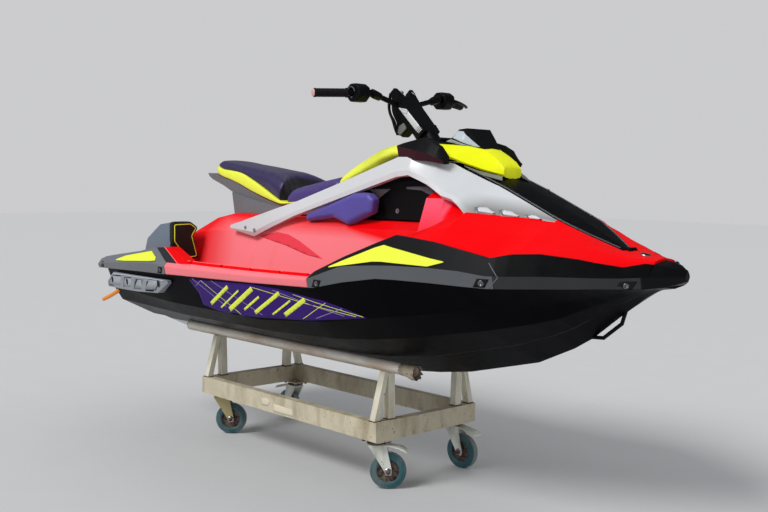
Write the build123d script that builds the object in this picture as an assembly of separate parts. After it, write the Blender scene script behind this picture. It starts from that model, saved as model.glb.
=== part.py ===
from build123d import *
import math
import os

# A personal watercraft on its four-caster cradle trolley, in millimetres.
# X points to the bow, Y to port and Z up; the origin is on the floor under the middle.

# Overall sizes of the craft
craft_length = 3130.0
craft_beam = 1130.0
drawn_length = 3130.0
drawn_beam = 1130.0

# Trolley: welded frame, tubes under the hull and casters
trolley_rear = -873.0
trolley_front = 384.0
trolley_width = 596.0
rail_depth = 81.0
rail_thick = 40.0
leg_thick = 32.0
plate_thick = 6.0
tube_radius = 24.0
tube_bore = 20.5
tube_y = 218.0
tube_rear = -1100.0
tube_front = 518.0
wheel_radius = 75.0
wheel_width = 36.0
wheel_to_plate = 50.0
caster_trail = 50.0
axle_radius = 6.0
tyre_depth = 20.0

# Clearances
seat_gap = 0.2
running_gap = 0.05
side_gap = 6.0
hood_gap = 8.0

# Footwells, hood and bin
well_rear = -842.0
well_front = 600.0
well_outer = 486.0
well_inner = 338.0
well_floor = 742.0
well_taper = 60.0
taper_start = 283.0
liner_wall = 8.0
stern_face = -880.0
hood_depth = 24.0
hood_tip = 1336.0
hinge_radius = 4.0
hinge_x = 1346.0
hinge_z = 1033.0
bin_size = (280.0, 124.0, 110.0)
bin_centre_x = 1040.0
bin_floor = 950.0
bed_end = 764.0
rear_ledge = (266.0, 1194.0)
rear_bed = (205.0, 1228.0)
nose_start = 1480.0
nose_crown = 12.0

# Drive
transom = -1440.0
pump_inset = 352.0
pump_z = 560.0
tunnel_top = 700.0
grate_z = 449.0
pump_bore = 77.5
pump_wall = 10.5
pump_length = 212.0
cone_length = 50.0
outlet_bore = 48.0
outlet_wall = 6.0
outlet_length = 46.0
blade_gap = 1.0
shaft_radius = 14.0
shaft_tube = 20.0
nozzle_bore = 68.0
nozzle_exit = 44.0
nozzle_wall = 6.0
nozzle_length = 140.0
pin_radius = 6.0
bucket_reach = 160.0
bucket_wall = 8.0
bucket_half = 108.0
plate_drop = 42.5
engine_size = (520.0, 360.0, 400.0)
engine_x = -40.0
engine_floor = 550.0
engine_gap = 10.0

# Steering
steer_x = 352.0
steer_z = 1455.0
steer_lean = 40.0
post_length = 246.0
post_knee = 138.0
column_radius = 20.0
column_length = 86.0
bar_radius = 11.0
grip_radius = 17.0
grip_start_y = 300.0
grip_end_y = 426.0
bar_height = 1605.0
bar_along = 184.0
bar_back = 25.0
bar_bend = 60.0
bar_elbow = 205.0
elbow_rise = 12.0
bar_sweep = 83.0
notch_start = 200.0
pod_size = (88.0, 62.0, 74.0)
pod_y = 252.0

# Small pieces
eye_radius = 12.5
loop_radius = 7.0
loop_reach = 22.0
pad_thick = 30.0
arch_bevel = 5.0
facet_width = 20.0
facet_drop = 8.0
insert_lift = 5.0
band_depth = 60.0
band_slope = 20.0
band_lip = 32.0
bumper_end = -800.0
rail_end = 256.0
fairing_end = 1075.0
window_depth = 165.0

scale_x = craft_length / drawn_length
scale_y = craft_beam / drawn_beam

# Outer band of the craft: x, half beam, lower edge z, ridge z, upper edge z
band = [
    (-1565, 494, 780, 800, 826),
    (-1482, 508, 784, 812, 845),
    (-1279, 533, 792, 830, 872),
    (-1060, 550, 800, 842, 900),
    (-915, 556, 803, 850, 930),
    (-800, 560, 806, 846, 868),
    (-690, 561, 809, 845, 868),
    (-450, 563, 815, 850, 868),
    (-110, 565, 824, 855, 872),
    (240, 564, 836, 868, 879),
    (283, 563, 838, 882, 904),
    (450, 558, 873, 936, 972),
    (620, 547, 900, 950, 1034),
    (700, 532, 902, 954, 1064),
    (850, 500, 901, 956, 1047),
    (960, 466, 897, 951, 1022),
    (1050, 430, 894, 939, 1000),
    (1120, 395, 897, 941, 1016),
    (1200, 348, 901, 945, 1020),
    (1300, 275, 905, 946, 1006),
    (1350, 235, 908, 946, 995),
    (1412, 176, 909, 947, 983),
    (1465, 124, 911, 951, 997),
    (1515, 72, 918, 953, 988),
    (1540, 44, 927, 954, 978),
    (1565, 14, 938, 955, 965),
]

# Hull bottom: x, keel z, then y and z of strake, strake edge, chine and side knuckle
hull_lines = [
    (-1440, 440, 200, 530, 235, 533, 420, 622, 465, 690),
    (-820, 440, 200, 530, 235, 533, 430, 607, 505, 672),
    (-110, 440, 200, 530, 235, 533, 430, 610, 508, 668),
    (283, 452, 198, 541, 232, 544, 420, 628, 500, 702),
    (450, 470, 192, 556, 226, 559, 405, 645, 488, 728),
    (620, 497, 182, 580, 214, 583, 382, 668, 470, 755),
    (960, 583, 145, 660, 172, 663, 304, 730, 382, 806),
    (1120, 657, 118, 714, 140, 717, 242, 768, 308, 834),
    (1200, 705, 102, 752, 122, 754, 204, 792, 262, 848),
    (1300, 785, 76, 815, 92, 817, 150, 840, 196, 872),
    (1412, 872, 40, 882, 50, 883, 84, 890, 112, 898),
    (1465, 903, 24, 905, 30, 906, 52, 907, 70, 908),
    (1515, 912, 8, 913, 12, 914, 20, 915, 28, 916),
]

# Stern deck: x, y and z of its side edge, centre z
stern_lines = [
    (-1540, 380, 838, 846),
    (-1279, 430, 872, 880),
    (-1060, 450, 904, 910),
    (-862, 450, 925, 925),
]

# Bow deck: x, then y and z of shoulder and of silver seam
bow_lines = [
    (608, 430, 1028, 312, 1066),
    (620, 430, 1034, 310, 1070),
    (700, 425, 1062, 306, 1098),
    (764, 412, 1082, 309, 1126),
    (850, 396, 1098, 318, 1143),
    (960, 335, 1083, 235, 1134),
    (1050, 280, 1074, 168, 1128),
    (1120, 236, 1080, 142, 1118),
    (1200, 190, 1064, 136, 1088),
    (1300, 160, 1036, 118, 1046),
    (1336, 146, 1025, 112, 1032),
    (1346, 142, 1022, 110, 1029),
    (1360, 134, 1017, 106, 1026),
    (1412, 112, 1000, 92, 1012),
    (1465, 70, 1002, 44, 1008),
    (1515, 30, 1008, 20, 1009),
]

# Hood: x, then y and z of its edge, and centre z
hood_lines = [
    (642, 160, 1328, 1334),
    (700, 138, 1306, 1316),
    (764, 124, 1280, 1291),
    (877, 123, 1237, 1249),
    (1000, 123, 1183, 1194),
    (1095, 123, 1141, 1150),
    (1143, 118, 1120, 1127),
    (1223, 84, 1082, 1087),
    (1336, 25, 1029, 1031),
]

# Pedestal under the seat: x, then y and z of foot, side and shoulder, and centre z
pedestal_lines = [
    (-960, 330, 850, 300, 985, 215, 1028, 1036),
    (-880, 330, 850, 294, 998, 205, 1064, 1070),
    (-750, 330, 850, 286, 1012, 196, 1090, 1096),
    (-618, 330, 850, 281, 1012, 225, 1090, 1096),
    (-443, 330, 850, 279, 992, 235, 1088, 1096),
    (-300, 330, 850, 277, 1040, 235, 1090, 1098),
    (-110, 328, 850, 276, 1062, 225, 1095, 1100),
    (283, 323, 850, 276, 1062, 225, 1095, 1100),
    (450, 324, 850, 280, 1064, 225, 1096, 1100),
    (608, 329, 850, 288, 1068, 225, 1098, 1100),
]

# Silver side arch: x, then y and z of its lower and upper outer edges, and its thickness
arch_lines = [
    (-618, 316, 1024, 314, 1040, 26),
    (-443, 314, 997, 310, 1085, 28),
    (-300, 308, 1052, 296, 1126, 29),
    (-169, 296, 1102, 276, 1163, 30),
    (110, 282, 1183, 262, 1249, 32),
    (433, 268, 1275, 248, 1352, 32),
    (500, 268, 1283, 242, 1351, 32),
    (608, 274, 1252, 196, 1340, 30),
    (659, 281, 1230, 165, 1326, 28),
    (700, 288, 1212, 148, 1304, 26),
    (764, 301, 1201, 134, 1276, 22),
    (800, 309, 1183, 133, 1263, 20),
    (830, 314, 1161, 132, 1252, 19),
    (850, 318, 1146, 132, 1246, 18),
    (898, 281, 1142, 131, 1226, 16),
    (960, 235, 1137, 131, 1199, 14),
    (1050, 167, 1131, 131, 1160, 10),
    (1120, 141, 1122, 130, 1129, 5),
]

# Seat: x, then y and z of skirt foot, cushion edge and cushion top edge, and centre z
seat_lines = [
    (-1080, 50, 1288, 60, 1316, 44, 1330, 1334),
    (-1040, 100, 1281, 98, 1318, 72, 1338, 1343),
    (-980, 120, 1267, 118, 1303, 90, 1333, 1338),
    (-900, 130, 1253, 124, 1296, 96, 1322, 1327),
    (-800, 140, 1229, 132, 1283, 104, 1310, 1316),
    (-690, 148, 1198, 142, 1250, 110, 1296, 1302),
    (-570, 156, 1166, 152, 1204, 118, 1278, 1284),
    (-440, 166, 1139, 170, 1154, 130, 1258, 1268),
    (-395, 168, 1137, 172, 1152, 132, 1204, 1216),
    (-300, 166, 1158, 170, 1174, 134, 1223, 1229),
    (-180, 160, 1186, 164, 1202, 134, 1246, 1250),
    (-48, 148, 1216, 152, 1232, 130, 1270, 1276),
]

# Tray and box under the seat: x, lower z, half width, upper z
tray_lines = [
    (-1150, 1266, 88, 1284),
    (-1095, 1252, 106, 1282),
    (-980, 1222, 118, 1264),
    (-880, 1189, 128, 1246),
    (-800, 1172, 134, 1226),
    (-690, 1152, 142, 1194),
    (-570, 1126, 150, 1162),
    (-440, 1098, 160, 1136),
    (-395, 1099, 162, 1134),
    (-300, 1100, 160, 1154),
    (-180, 1101, 154, 1182),
    (-62, 1102, 144, 1209),
]

# Cowl over the rear of the hood: x, low z, then y and z of inner lip, outer edge and crease, and centre z
cowl_lines = [
    (552, 1352, 186, 1354, 194, 1363, 152, 1404, 1409),
    (608, 1346, 184, 1350, 192, 1360, 150, 1399, 1404),
    (657, 1325, 168, 1340, 178, 1350, 88, 1396, 1400),
    (701, 1308, 136, 1320, 146, 1329, 50, 1385, 1389),
    (745, 1292, 98, 1300, 108, 1309, 50, 1362, 1365),
    (785, 1276, 64, 1286, 74, 1295, 50, 1336, 1338),
    (808, 1270, 44, 1278, 52, 1288, 50, 1311, 1312),
]

# Screen on the cowl: x, then y and z of foot, side and top edge
visor_lines = [
    (553, 128, 1385, 126, 1408, 80, 1414),
    (585, 100, 1380, 97, 1426, 66, 1464),
    (630, 98, 1380, 93, 1424, 68, 1467),
    (668, 72, 1380, 70, 1405, 60, 1424),
    (702, 48, 1376, 47, 1386, 46, 1388),
]

# Trunk between the arches: x, then y of foot, y and z of side and of top edge, and centre z
console_lines = [
    (-60, 205, 205, 1150, 150, 1198, 1200),
    (110, 208, 212, 1190, 150, 1264, 1267),
    (261, 208, 212, 1230, 150, 1326, 1330),
    (345, 206, 208, 1250, 150, 1340, 1344),
    (480, 205, 205, 1262, 186, 1334, 1340),
    (600, 205, 205, 1228, 160, 1306, 1326),
]

# Instrument cover: x, low z, then y and z of edge and shoulder, and centre z
dash_lines = [
    (347, 1346, 150, 1348, 140, 1386, 1394),
    (480, 1342, 184, 1344, 130, 1416, 1424),
    (545, 1337, 184, 1340, 122, 1401, 1409),
]

# Soft strip in front of the seat: x, low z, then y and z of foot, side and top edge, and centre z
strip_lines = [
    (-42, 1216, 142, 1222, 154, 1238, 120, 1271, 1278),
    (110, 1270, 148, 1282, 160, 1303, 120, 1346, 1353),
    (232, 1325, 148, 1334, 160, 1356, 120, 1390, 1397),
    (300, 1346, 144, 1352, 154, 1372, 116, 1400, 1406),
    (330, 1347, 140, 1354, 148, 1372, 110, 1398, 1404),
]

# Mirror pod: x, then y and z of its five corners
mirror_lines = [
    (424, -160, 1350, -238, 1346, -250, 1396, -215, 1407, -160, 1404),
    (530, -160, 1346, -246, 1337, -256, 1376, -222, 1424, -160, 1428),
    (585, -198, 1341, -245, 1335, -254, 1365, -222, 1410, -198, 1413),
    (628, -196, 1333, -238, 1329, -247, 1349, -222, 1388, -196, 1392),
    (662, -188, 1325, -228, 1322, -238, 1335, -214, 1350, -188, 1354),
]
mirror_gap_start = 546.0
mirror_gap_y = 201.0

# Foot chock behind each footwell: x, half width, lower z, upper z
chock_lines = [
    (-1172, 24, 900, 930),
    (-1152, 40, 900, 954),
    (-1054, 62, 900, 1001),
    (-996, 70, 900, 1030),
    (-880, 70, 900, 1046),
]
chock_y = -412.0

# Four casters: name, swivel x and y, and the heading of the wheel's offset in degrees
casters = [
    ("right_front", 328.0, -243.0, 46.7),
    ("right_rear", -830.0, -215.0, 46.7),
    ("left_front", 303.0, 250.0, 5.0),
    ("left_rear", -822.0, 243.0, 180.0),
]

frame_bottom = 2 * wheel_radius + wheel_to_plate + plate_thick
frame_top = frame_bottom + rail_depth


def value(table, x, column):
    # One column of a table at a station between two of its rows
    rows = sorted(table)
    if x <= rows[0][0]:
        return float(rows[0][column])
    for low, high in zip(rows, rows[1:]):
        if low[0] <= x <= high[0]:
            part = (x - low[0]) / (high[0] - low[0])
            return low[column] + part * (high[column] - low[column])
    return float(rows[-1][column])


def row_at(table, x, first):
    # The columns of a table from one on, at a station
    return [value(table, x, c) for c in range(first, len(table[0]))]


def stations(tables, start, end):
    # Every station of some tables between two ends, ends included
    kept = [start]
    for x in sorted({row[0] for table in tables for row in table}):
        if start + 8 < x < end - 8 and x - kept[-1] > 8:
            kept.append(x)
    return kept + [end]


def ring(x, points):
    # A closed polygon across the craft, as a face
    corners = [(x * scale_x, y * scale_y, z) for y, z in points]
    return Face(Wire.make_polygon([Vector(*c) for c in corners], close=True))


def whole(x, half):
    # A symmetric section from the points of one side, from centre bottom to centre top
    right = [(-y, z) for y, z in half]
    left = [(y, z) for y, z in reversed(half) if y > 0.01]
    return ring(x, right + left)


def skin(faces):
    # A straight-sided solid through a row of sections
    return loft(faces, ruled=True)


def pair(shape):
    # A starboard piece and its mirror image to port
    return Compound(children=[shape, mirror(shape, Plane.XZ)])


def plate(points, y, thick):
    # A plate from its outline in X and Z, growing from one Y towards +Y
    face = Face(Wire.make_polygon([Vector(x, y, z) for x, z in points], close=True))
    return extrude(face, abs(thick), dir=(0, math.copysign(1, thick), 0))


def block(x0, x1, y0, y1, z0, z1):
    # A box between two corners
    box = Box(abs(x1 - x0), abs(y1 - y0), abs(z1 - z0))
    return Pos((x0 + x1) / 2, (y0 + y1) / 2, (z0 + z1) / 2) * box


def rod(start, end, radius):
    # A round bar between two points
    a, b = Vector(*start), Vector(*end)
    return extrude(Plane(origin=a, z_dir=b - a) * Circle(radius), (b - a).length)


def joined(shapes):
    # One shape from a list of shapes
    total = shapes[0]
    for shape in shapes[1:]:
        total += shape
    return total


def drum(x0, x1, r0, r1):
    # A cone or cylinder on the pump's centre line between two X places
    a = Plane(origin=(x0, 0, pump_z), z_dir=(-1, 0, 0))
    b = Plane(origin=(x1, 0, pump_z), z_dir=(-1, 0, 0))
    return loft([a * Circle(r0), b * Circle(r1)])


def band_section(x):
    # Section of the outer band on the starboard side
    half, bottom, ridge, top = row_at(band, x, 1)
    points = [(half - band_depth, bottom + 1), (half - 8, bottom + 1), (half, ridge)]
    points += [(half - band_slope, top), (half - band_lip, top)]
    return [(-y, z) for y, z in points]


def edge_points(x):
    # Where a deck meets the band: foot of its wall and the lip under the band's top
    half, bottom, ridge, top = row_at(band, x, 1)
    return (half - band_depth - 2, bottom + 1), (half - band_lip - 6, top - 5)


def hull_half(x):
    # Half section of the hull from the keel to the deck seam
    y = row_at(hull_lines, x, 1)
    half, bottom = row_at(band, x, 1)[:2]
    points = [(0, y[0]), (y[1], y[2]), (y[3], y[4]), (y[5], y[6]), (y[7], y[8])]
    return points + [(half - 10, bottom), (0, bottom)]


def hull_height(x, y):
    # Height of the hull's bottom over one place on the floor
    corners = [(a * scale_y, z) for a, z in hull_half(x / scale_x)]
    for (y0, z0), (y1, z1) in zip(corners, corners[1:]):
        if y0 <= y <= y1:
            return z0 + (z1 - z0) * (y - y0) / (y1 - y0)
    return corners[-2][1]


def tube_height():
    # Height of the tubes' centre lines, where they just carry the hull
    best = 1e9
    for x in (tube_rear, trolley_rear, 0.0, tube_front):
        for step in range(-20, 21):
            off = tube_radius * step / 20
            rise = math.sqrt(tube_radius ** 2 - off ** 2)
            best = min(best, hull_height(x, tube_y + off) - rise)
    return best - seat_gap


def well_side(x):
    # Half breadth at the outer wall of a foot trough, narrower towards the bow
    part = (x - taper_start) / (well_front - taper_start)
    return well_outer - well_taper * max(0.0, part)


def well(side):
    # The open trough for one foot
    rows = []
    for x in (well_rear, taper_start, well_front):
        o, i = side * well_side(x), side * well_inner
        rows.append(ring(x, [(o, well_floor), (i, well_floor), (i, 1250), (o, 1250)]))
    return skin(rows)


def liner_block(side, extra=0.0):
    # The moulding round one foot trough before it is hollowed
    rows = []
    for x in stations((band,), stern_face - extra, well_front + liner_wall + extra):
        outer = well_side(x) + liner_wall + extra
        inner = well_inner - liner_wall - extra
        low = well_floor - liner_wall - extra
        inner_top = max(852.0, value(band, x, 2) + 1)
        outer_top = max(852.0, edge_points(x)[1][1])
        points = [(outer, low), (inner, low), (inner, inner_top), (outer, outer_top)]
        rows.append(ring(x, [(side * y, z) for y, z in points]))
    return skin(rows)


def make_liners():
    # Footwell mouldings
    return Compound(children=[liner_block(side) - well(side) for side in (-1, 1)])


def make_hull():
    # Hull with pump tunnel, intake, shaft bore and engine bay
    shape = skin([whole(x, hull_half(x)) for x in stations((band, hull_lines), transom, 1520)])
    for side in (-1, 1):
        shape -= liner_block(side, 1.0)
    half = pump_bore + pump_wall + 42
    rear = pump_face()
    shape -= block(transom * scale_x - 60, rear + 3, -half, half, 380, tunnel_top)
    shape -= make_intake()
    shape -= rod((rear, 0, pump_z), (engine_rear() + 20, 0, pump_z), shaft_tube)
    return shape - engine_bay()


def engine_rear():
    # X of the engine's rear face
    return engine_x * scale_x - engine_size[0] / 2


def make_engine():
    # The engine as one plain block
    sx, sy, sz = engine_size
    return Pos(engine_x * scale_x, 0, engine_floor + sz / 2) * Box(sx, sy, sz)


def engine_bay():
    # Space for the engine, open between hull and pedestal
    sx, sy, sz = (s + 2 * engine_gap for s in engine_size)
    return Pos(engine_x * scale_x, 0, engine_floor + engine_size[2] / 2) * Box(sx, sy, sz)


def make_intake():
    # Water intake from the opening in the bottom to the round pump
    ring_points, mouth_points = [], []
    for step in range(16):
        turn = math.radians(22.5 * step + 11.25)
        y, z = pump_bore * math.sin(turn), pump_z + pump_bore * math.cos(turn)
        ring_points.append(Vector(pump_face() - 2, y, z))
        mouth_points.append(Vector(-890 * scale_x + 165 * math.cos(turn), 72 * math.sin(turn), 400))
    throat = Face(Wire.make_polygon(ring_points, close=True))
    mouth = Face(Wire.make_polygon(mouth_points, close=True))
    return loft([throat, mouth], ruled=True)


def make_stern_deck():
    # Flat deck behind the seat
    rows = []
    for x in stations((band, stern_lines), -1540, stern_face):
        foot, lip = edge_points(x)
        y, z, centre = row_at(stern_lines, x, 1)
        rows.append(whole(x, [(0, foot[1]), foot, lip, (min(y, lip[0] - 1), z), (0, centre)]))
    return skin(rows)


def make_side_decks():
    # Narrow ledge between each footwell and the band
    rows = []
    for x in stations((band,), stern_face, well_front + liner_wall):
        foot, lip = edge_points(x)
        inner = well_side(x) + liner_wall
        points = [(inner, foot[1]), (max(foot[0], inner + 2), foot[1]), lip, (inner, lip[1] + 1)]
        rows.append(ring(x, [(-y, z) for y, z in points]))
    return pair(skin(rows))


def make_pedestal():
    # Trunk under the seat between the footwells
    rows = []
    for row in pedestal_lines:
        x, y = row[0], row[1:]
        low = value(band, x, 2) + 1
        wall = min(y[0], well_inner - liner_wall)
        points = [(0, low), (wall, low), (wall, max(y[1], low + 5)), (y[2], y[3]), (y[4], y[5]), (0, y[6])]
        rows.append(whole(x, points))
    return skin(rows) - engine_bay() - stern_deck


def bow_half(x):
    # Half section of the bow deck with the bed for the hood
    foot, lip = edge_points(x)
    y0, z0, y1, z1 = row_at(bow_lines, x, 1)
    if x <= hood_tip + 1:
        edge_y, edge_z, crest = row_at(hood_lines, x, 1)
        ledge = (edge_y + hood_gap, min(edge_z, value(arch_lines, x, 4) - 6 if x < 1120 else edge_z))
        bed = (edge_y + hood_gap - 2, edge_z - hood_depth - side_gap)
        centre = bed[1]
    else:
        ledge, bed, centre = (20, z1 + 3), (10, z1 + 4), z1 + 4
    if x < bed_end:
        ledge, bed = rear_ledge, rear_bed
        centre = bed[1] + 2
    points = [(0, foot[1]), foot, lip, (min(y0, lip[0] - 1), z0), (min(y1, lip[0] - 2), z1)]
    points += [(min(ledge[0], lip[0] - 3), ledge[1]), (min(bed[0], lip[0] - 4), bed[1])]
    return points + [(0, centre)]


def make_bow_deck():
    # Bow deck with the seats of the arches, the hood bed and the bin
    xs = stations((band, bow_lines, hood_lines), well_front + liner_wall, nose_start - 1)
    xs = [x for x in xs if not hood_tip < x < hinge_x]
    shape = skin([whole(x, bow_half(x)) for x in xs])
    shape -= side_arches
    length, width, depth = bin_size
    bin_box = Box(length, width, 400)
    shape -= Pos(bin_centre_x * scale_x, 0, bin_floor + 200) * bin_box
    x = hinge_x * scale_x
    return shape - block(hood_tip * scale_x - 1, x + 14, -30, 30, hinge_z - 27, hinge_z + 60)


def make_band():
    # The rubbing pieces round the edge
    def strip(start, end):
        return skin([ring(x, band_section(x)) for x in stations((band,), start, end)])

    ends = ((band[0][0], bumper_end - 1), (bumper_end + 1, rail_end - 1), (rail_end + 1, fairing_end - 1))
    stern, rail, fairing = (pair(strip(a, b)) for a, b in ends)
    bow = strip(fairing_end + 1, nose_start + 2)
    bow += mirror(bow, Plane.XZ)
    nose = []
    for x in stations((band,), nose_start + 1, band[-1][0]):
        half, bottom, ridge, top = row_at(band, x, 1)
        points = [(0, bottom + 1), (half - 8, bottom + 1), (half, ridge), (half * 0.7, top)]
        nose.append(whole(x, points + [(0, top + nose_crown)]))
    return stern, rail, fairing, bow + skin(nose)


def arch_section(x):
    # Section of a silver arch: a bevelled strip of even thickness
    low_y, low_z, up_y, up_z, thick = row_at(arch_lines, x, 1)
    long = math.hypot(up_y - low_y, up_z - low_z)
    dy, dz = (up_y - low_y) / long, (up_z - low_z) / long
    bevel = min(arch_bevel, long / 4)
    facet, drop = min(facet_width, long / 4), min(facet_drop, long / 10, thick / 3)
    inner_up = (up_y - dz * thick - dy * bevel, up_z + dy * thick - dz * bevel)
    inner_low = (low_y - dz * thick + dy * bevel, low_z + dy * thick + dz * bevel)
    edge = (low_y - dz * drop, low_z + dy * drop)
    crease = (low_y + dy * facet, low_z + dz * facet)
    return [(-y, z) for y, z in (edge, crease, (up_y, up_z), inner_up, inner_low)]


def make_arches():
    # Silver arch on each side of the console
    return pair(skin([ring(row[0], arch_section(row[0])) for row in arch_lines]))


def hood_section(x, grow=0.0):
    # Section of the hood, or with a growth the space round it
    edge_y, edge_z, crest = row_at(hood_lines, x, 1)
    under = crest - hood_depth - grow
    lip = (edge_y - 5 + grow, edge_z - 18 - grow)
    return [(0, under), lip, (edge_y + grow, edge_z + grow), (0, crest + grow)]


def make_hood():
    # Front hood that opens forward on its hinge arm
    shape = skin([whole(row[0], hood_section(row[0])) for row in hood_lines])
    x = hinge_x * scale_x
    tip = hood_tip * scale_x
    arm = block(tip - 20, x, -9, 9, hinge_z - 17, hinge_z - hinge_radius)
    arm += rod((x, -9, hinge_z), (x, 9, hinge_z), hinge_radius + 4)
    arm -= rod((x, -12, hinge_z), (x, 12, hinge_z), hinge_radius + running_gap)
    return shape + arm


def make_hinge():
    # Pin and two ears that carry the hood
    x = hinge_x * scale_x
    shape = rod((x, -26, hinge_z), (x, 26, hinge_z), hinge_radius)
    for side in (-1, 1):
        shape += rod((x, side * 12, hinge_z), (x, side * 24, hinge_z), hinge_radius + 4)
        shape += block(x - 7, x + 7, side * 12, side * 24, hinge_z - 30, hinge_z)
    return shape - bow_deck


def make_cowl():
    # Cowl over the rear of the hood
    rows = []
    for x, low, y1, z1, y2, z2, y3, z3, top in cowl_lines:
        rows.append(whole(x, [(0, low), (y1, z1), (y2, z2), (y3, z3), (0, top)]))
    return skin(rows) - hood


def make_visor():
    # Screen on the cowl
    rows = []
    for x, y0, z0, y1, z1, y2, z2 in visor_lines:
        rows.append(whole(x, [(0, z0), (y0, z0), (y1, z1), (y2, z2), (0, z2)]))
    return skin(rows) - cowl


def make_console():
    # Trunk between the arches
    rows = []
    for x, y0, y1, z1, y2, z2, top in console_lines:
        rows.append(whole(x, [(0, 1102), (y0, 1102), (y1, z1), (y2, z2), (0, top)]))
    return skin(rows) - column_space()


def steer_point(along):
    # A point on the steering axis, measured up from the post's foot
    lean = math.radians(steer_lean)
    return (steer_x * scale_x - along * math.sin(lean), 0, steer_z + along * math.cos(lean))


def column_space():
    # Bore for the steering column
    return rod(steer_point(-column_length - 2), steer_point(0), column_radius + running_gap)


def make_dash():
    # Instrument cover with the collar of the steering column
    rows = []
    for x, low, y1, z1, y2, z2, top in dash_lines:
        rows.append(whole(x, [(0, low), (y1, z1), (y2, z2), (0, top)]))
    collar = rod(steer_point(-side_gap), steer_point(-column_length + 10), column_radius + 14)
    below = block(0, 700 * scale_x, -300, 300, 1200, 1345)
    shape = skin(rows) + (collar - below - strip_piece)
    return shape - column_space() - console


def make_strip():
    # Soft strip between seat and handlebar
    rows = []
    for x, low, y1, z1, y2, z2, y3, z3, top in strip_lines:
        rows.append(whole(x, [(0, low), (y1, z1), (y2, z2), (y3, z3), (0, top)]))
    return skin(rows) - console


def make_seat():
    # Seat cushion above its skirt
    upper, lower = [], []
    for x, yb, zb, ys, zs, yt, zt, top in seat_lines:
        upper.append(whole(x, [(0, zs + 1), (ys, zs + 1), (yt, zt), (0, top)]))
        lower.append(whole(x, [(0, zb), (yb, zb), (ys, zs), (0, zs)]))
    return skin(upper), skin(lower)


def make_seat_base():
    # Tray and box under the seat, with the post down to the pedestal
    tray = skin([whole(x, [(0, low), (y - 10, low), (y, top), (0, top)]) for x, low, y, top in tray_lines])
    foot = skin([
        whole(-870, [(0, 1060), (112, 1060), (132, 1190), (0, 1190)]),
        whole(-740, [(0, 1080), (150, 1080), (140, 1166), (0, 1166)]),
        whole(-395, [(0, 1090), (170, 1090), (162, 1120), (0, 1120)]),
    ])
    return (tray + foot) - pedestal - seat_skirt


def make_knee_pads():
    # Pad on each side of the console
    outline = [(-122, 1096), (-60, 1135), (235, 1214), (319, 1175), (319, 1150), (250, 1085), (156, 1070)]
    pad = plate([(x * scale_x, z) for x, z in outline], -284 * scale_y, 60)
    return pair(pad - pedestal - side_arches)


def make_chocks():
    # Foot chock behind each footwell and the pad on its face
    rows = []
    for x, half, low, high in chock_lines:
        y = chock_y
        points = [(y - half, low), (y + half, low), (y + half * 0.7, high), (y - half * 0.7, high)]
        rows.append(ring(x, points))
    outline = [(-490, 1052), (-490, 948), (-413, 857), (-335, 868), (-363, 978), (-338, 1021), (-380, 1055)]
    face = ring(stern_face, outline)
    pad = extrude(face, pad_thick, dir=(1, 0, 0))
    return pair(skin(rows) - stern_deck - pedestal), pair(pad - pedestal - footwell_liners)


def make_sponsons():
    # Fin with four windows on each side of the stern
    top = [(-1414, 724), (-1336, 776), (-766, 782)]
    foot = [(-1414, 696), (-1074, 702), (-865, 714), (-766, 768)]
    rows = []
    for x in sorted({row[0] for row in top + foot} | {-1279, -1060, -820}):
        half, low, high = value(band, x, 1), value(foot, x, 1), value(top, x, 1)
        points = [(half - 40, low), (half - 4, low), (half + 2, high), (half - 34, high)]
        rows.append(ring(x, [(-y, z) for y, z in points]))
    shape = skin(rows)
    for x in (-1345, -1225, -1105, -985):
        window = [(x, 712), (x + 84, 716), (x + 100, 766), (x + 22, 762)]
        outline = [(a * scale_x, z) for a, z in window]
        shape -= plate(outline, -craft_beam / 2 - 35, window_depth * scale_y)
    return pair(shape - hull)


def make_pump():
    # Pump housing with stator vanes, outlet and the ears for nozzle and bucket
    front = pump_face()
    back = front - pump_length
    end = back - cone_length
    tail = end - outlet_length
    shape = drum(front, back, pump_bore + pump_wall, pump_bore + pump_wall)
    shape += drum(front, front - 10, pump_bore + 18, pump_bore + 18)
    shape += drum(back, end, pump_bore + pump_wall, outlet_bore + outlet_wall)
    shape += drum(end, tail, outlet_bore + outlet_wall, outlet_bore + outlet_wall)
    shape -= drum(front, back, pump_bore, pump_bore)
    shape -= drum(back, end, pump_bore, outlet_bore)
    shape -= drum(end, tail - 1, outlet_bore, outlet_bore)
    shape += drum(back + 100, back - 10, 30, 20)
    for step in range(6):
        vane = block(back, back + 95, -2.5, 2.5, pump_z + 27, pump_z + pump_bore + 2)
        shape += vane.rotate(Axis((0, 0, pump_z), (1, 0, 0)), 60 * step)
    pivot = pivot_x()
    reach = nozzle_bore + nozzle_wall
    for side in (-1, 1):
        high = pump_z + side * (reach + 16)
        ear = block(pivot - 14, back - 8, -14, 14, high - side * 8, high)
        ear += block(back - 8, back + 20, -14, 14, pump_z + side * 70, high)
        ear += rod((pivot, 0, high - side * 6), (pivot, 0, pump_z + side * (nozzle_bore + 1)), pin_radius)
        near, far = side * (bucket_half - 16), side * (bucket_half - 4)
        arm = block(pivot - 20, back + 10, near, far, pump_z - 14, pump_z + 14)
        arm += block(back - 10, back + 10, side * 60, side * (bucket_half - 4), pump_z - 14, pump_z + 14)
        arm -= rod((pivot, side * 80, pump_z), (pivot, side * 120, pump_z), pin_radius + running_gap)
        shape += ear + arm
    return shape


def pump_face():
    # X of the pump's front face, at its real distance from the transom
    return transom * scale_x + pump_inset


def pivot_x():
    # X of the pins that carry the nozzle and the bucket
    return pump_face() - pump_length - cone_length - outlet_length - 4


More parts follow.
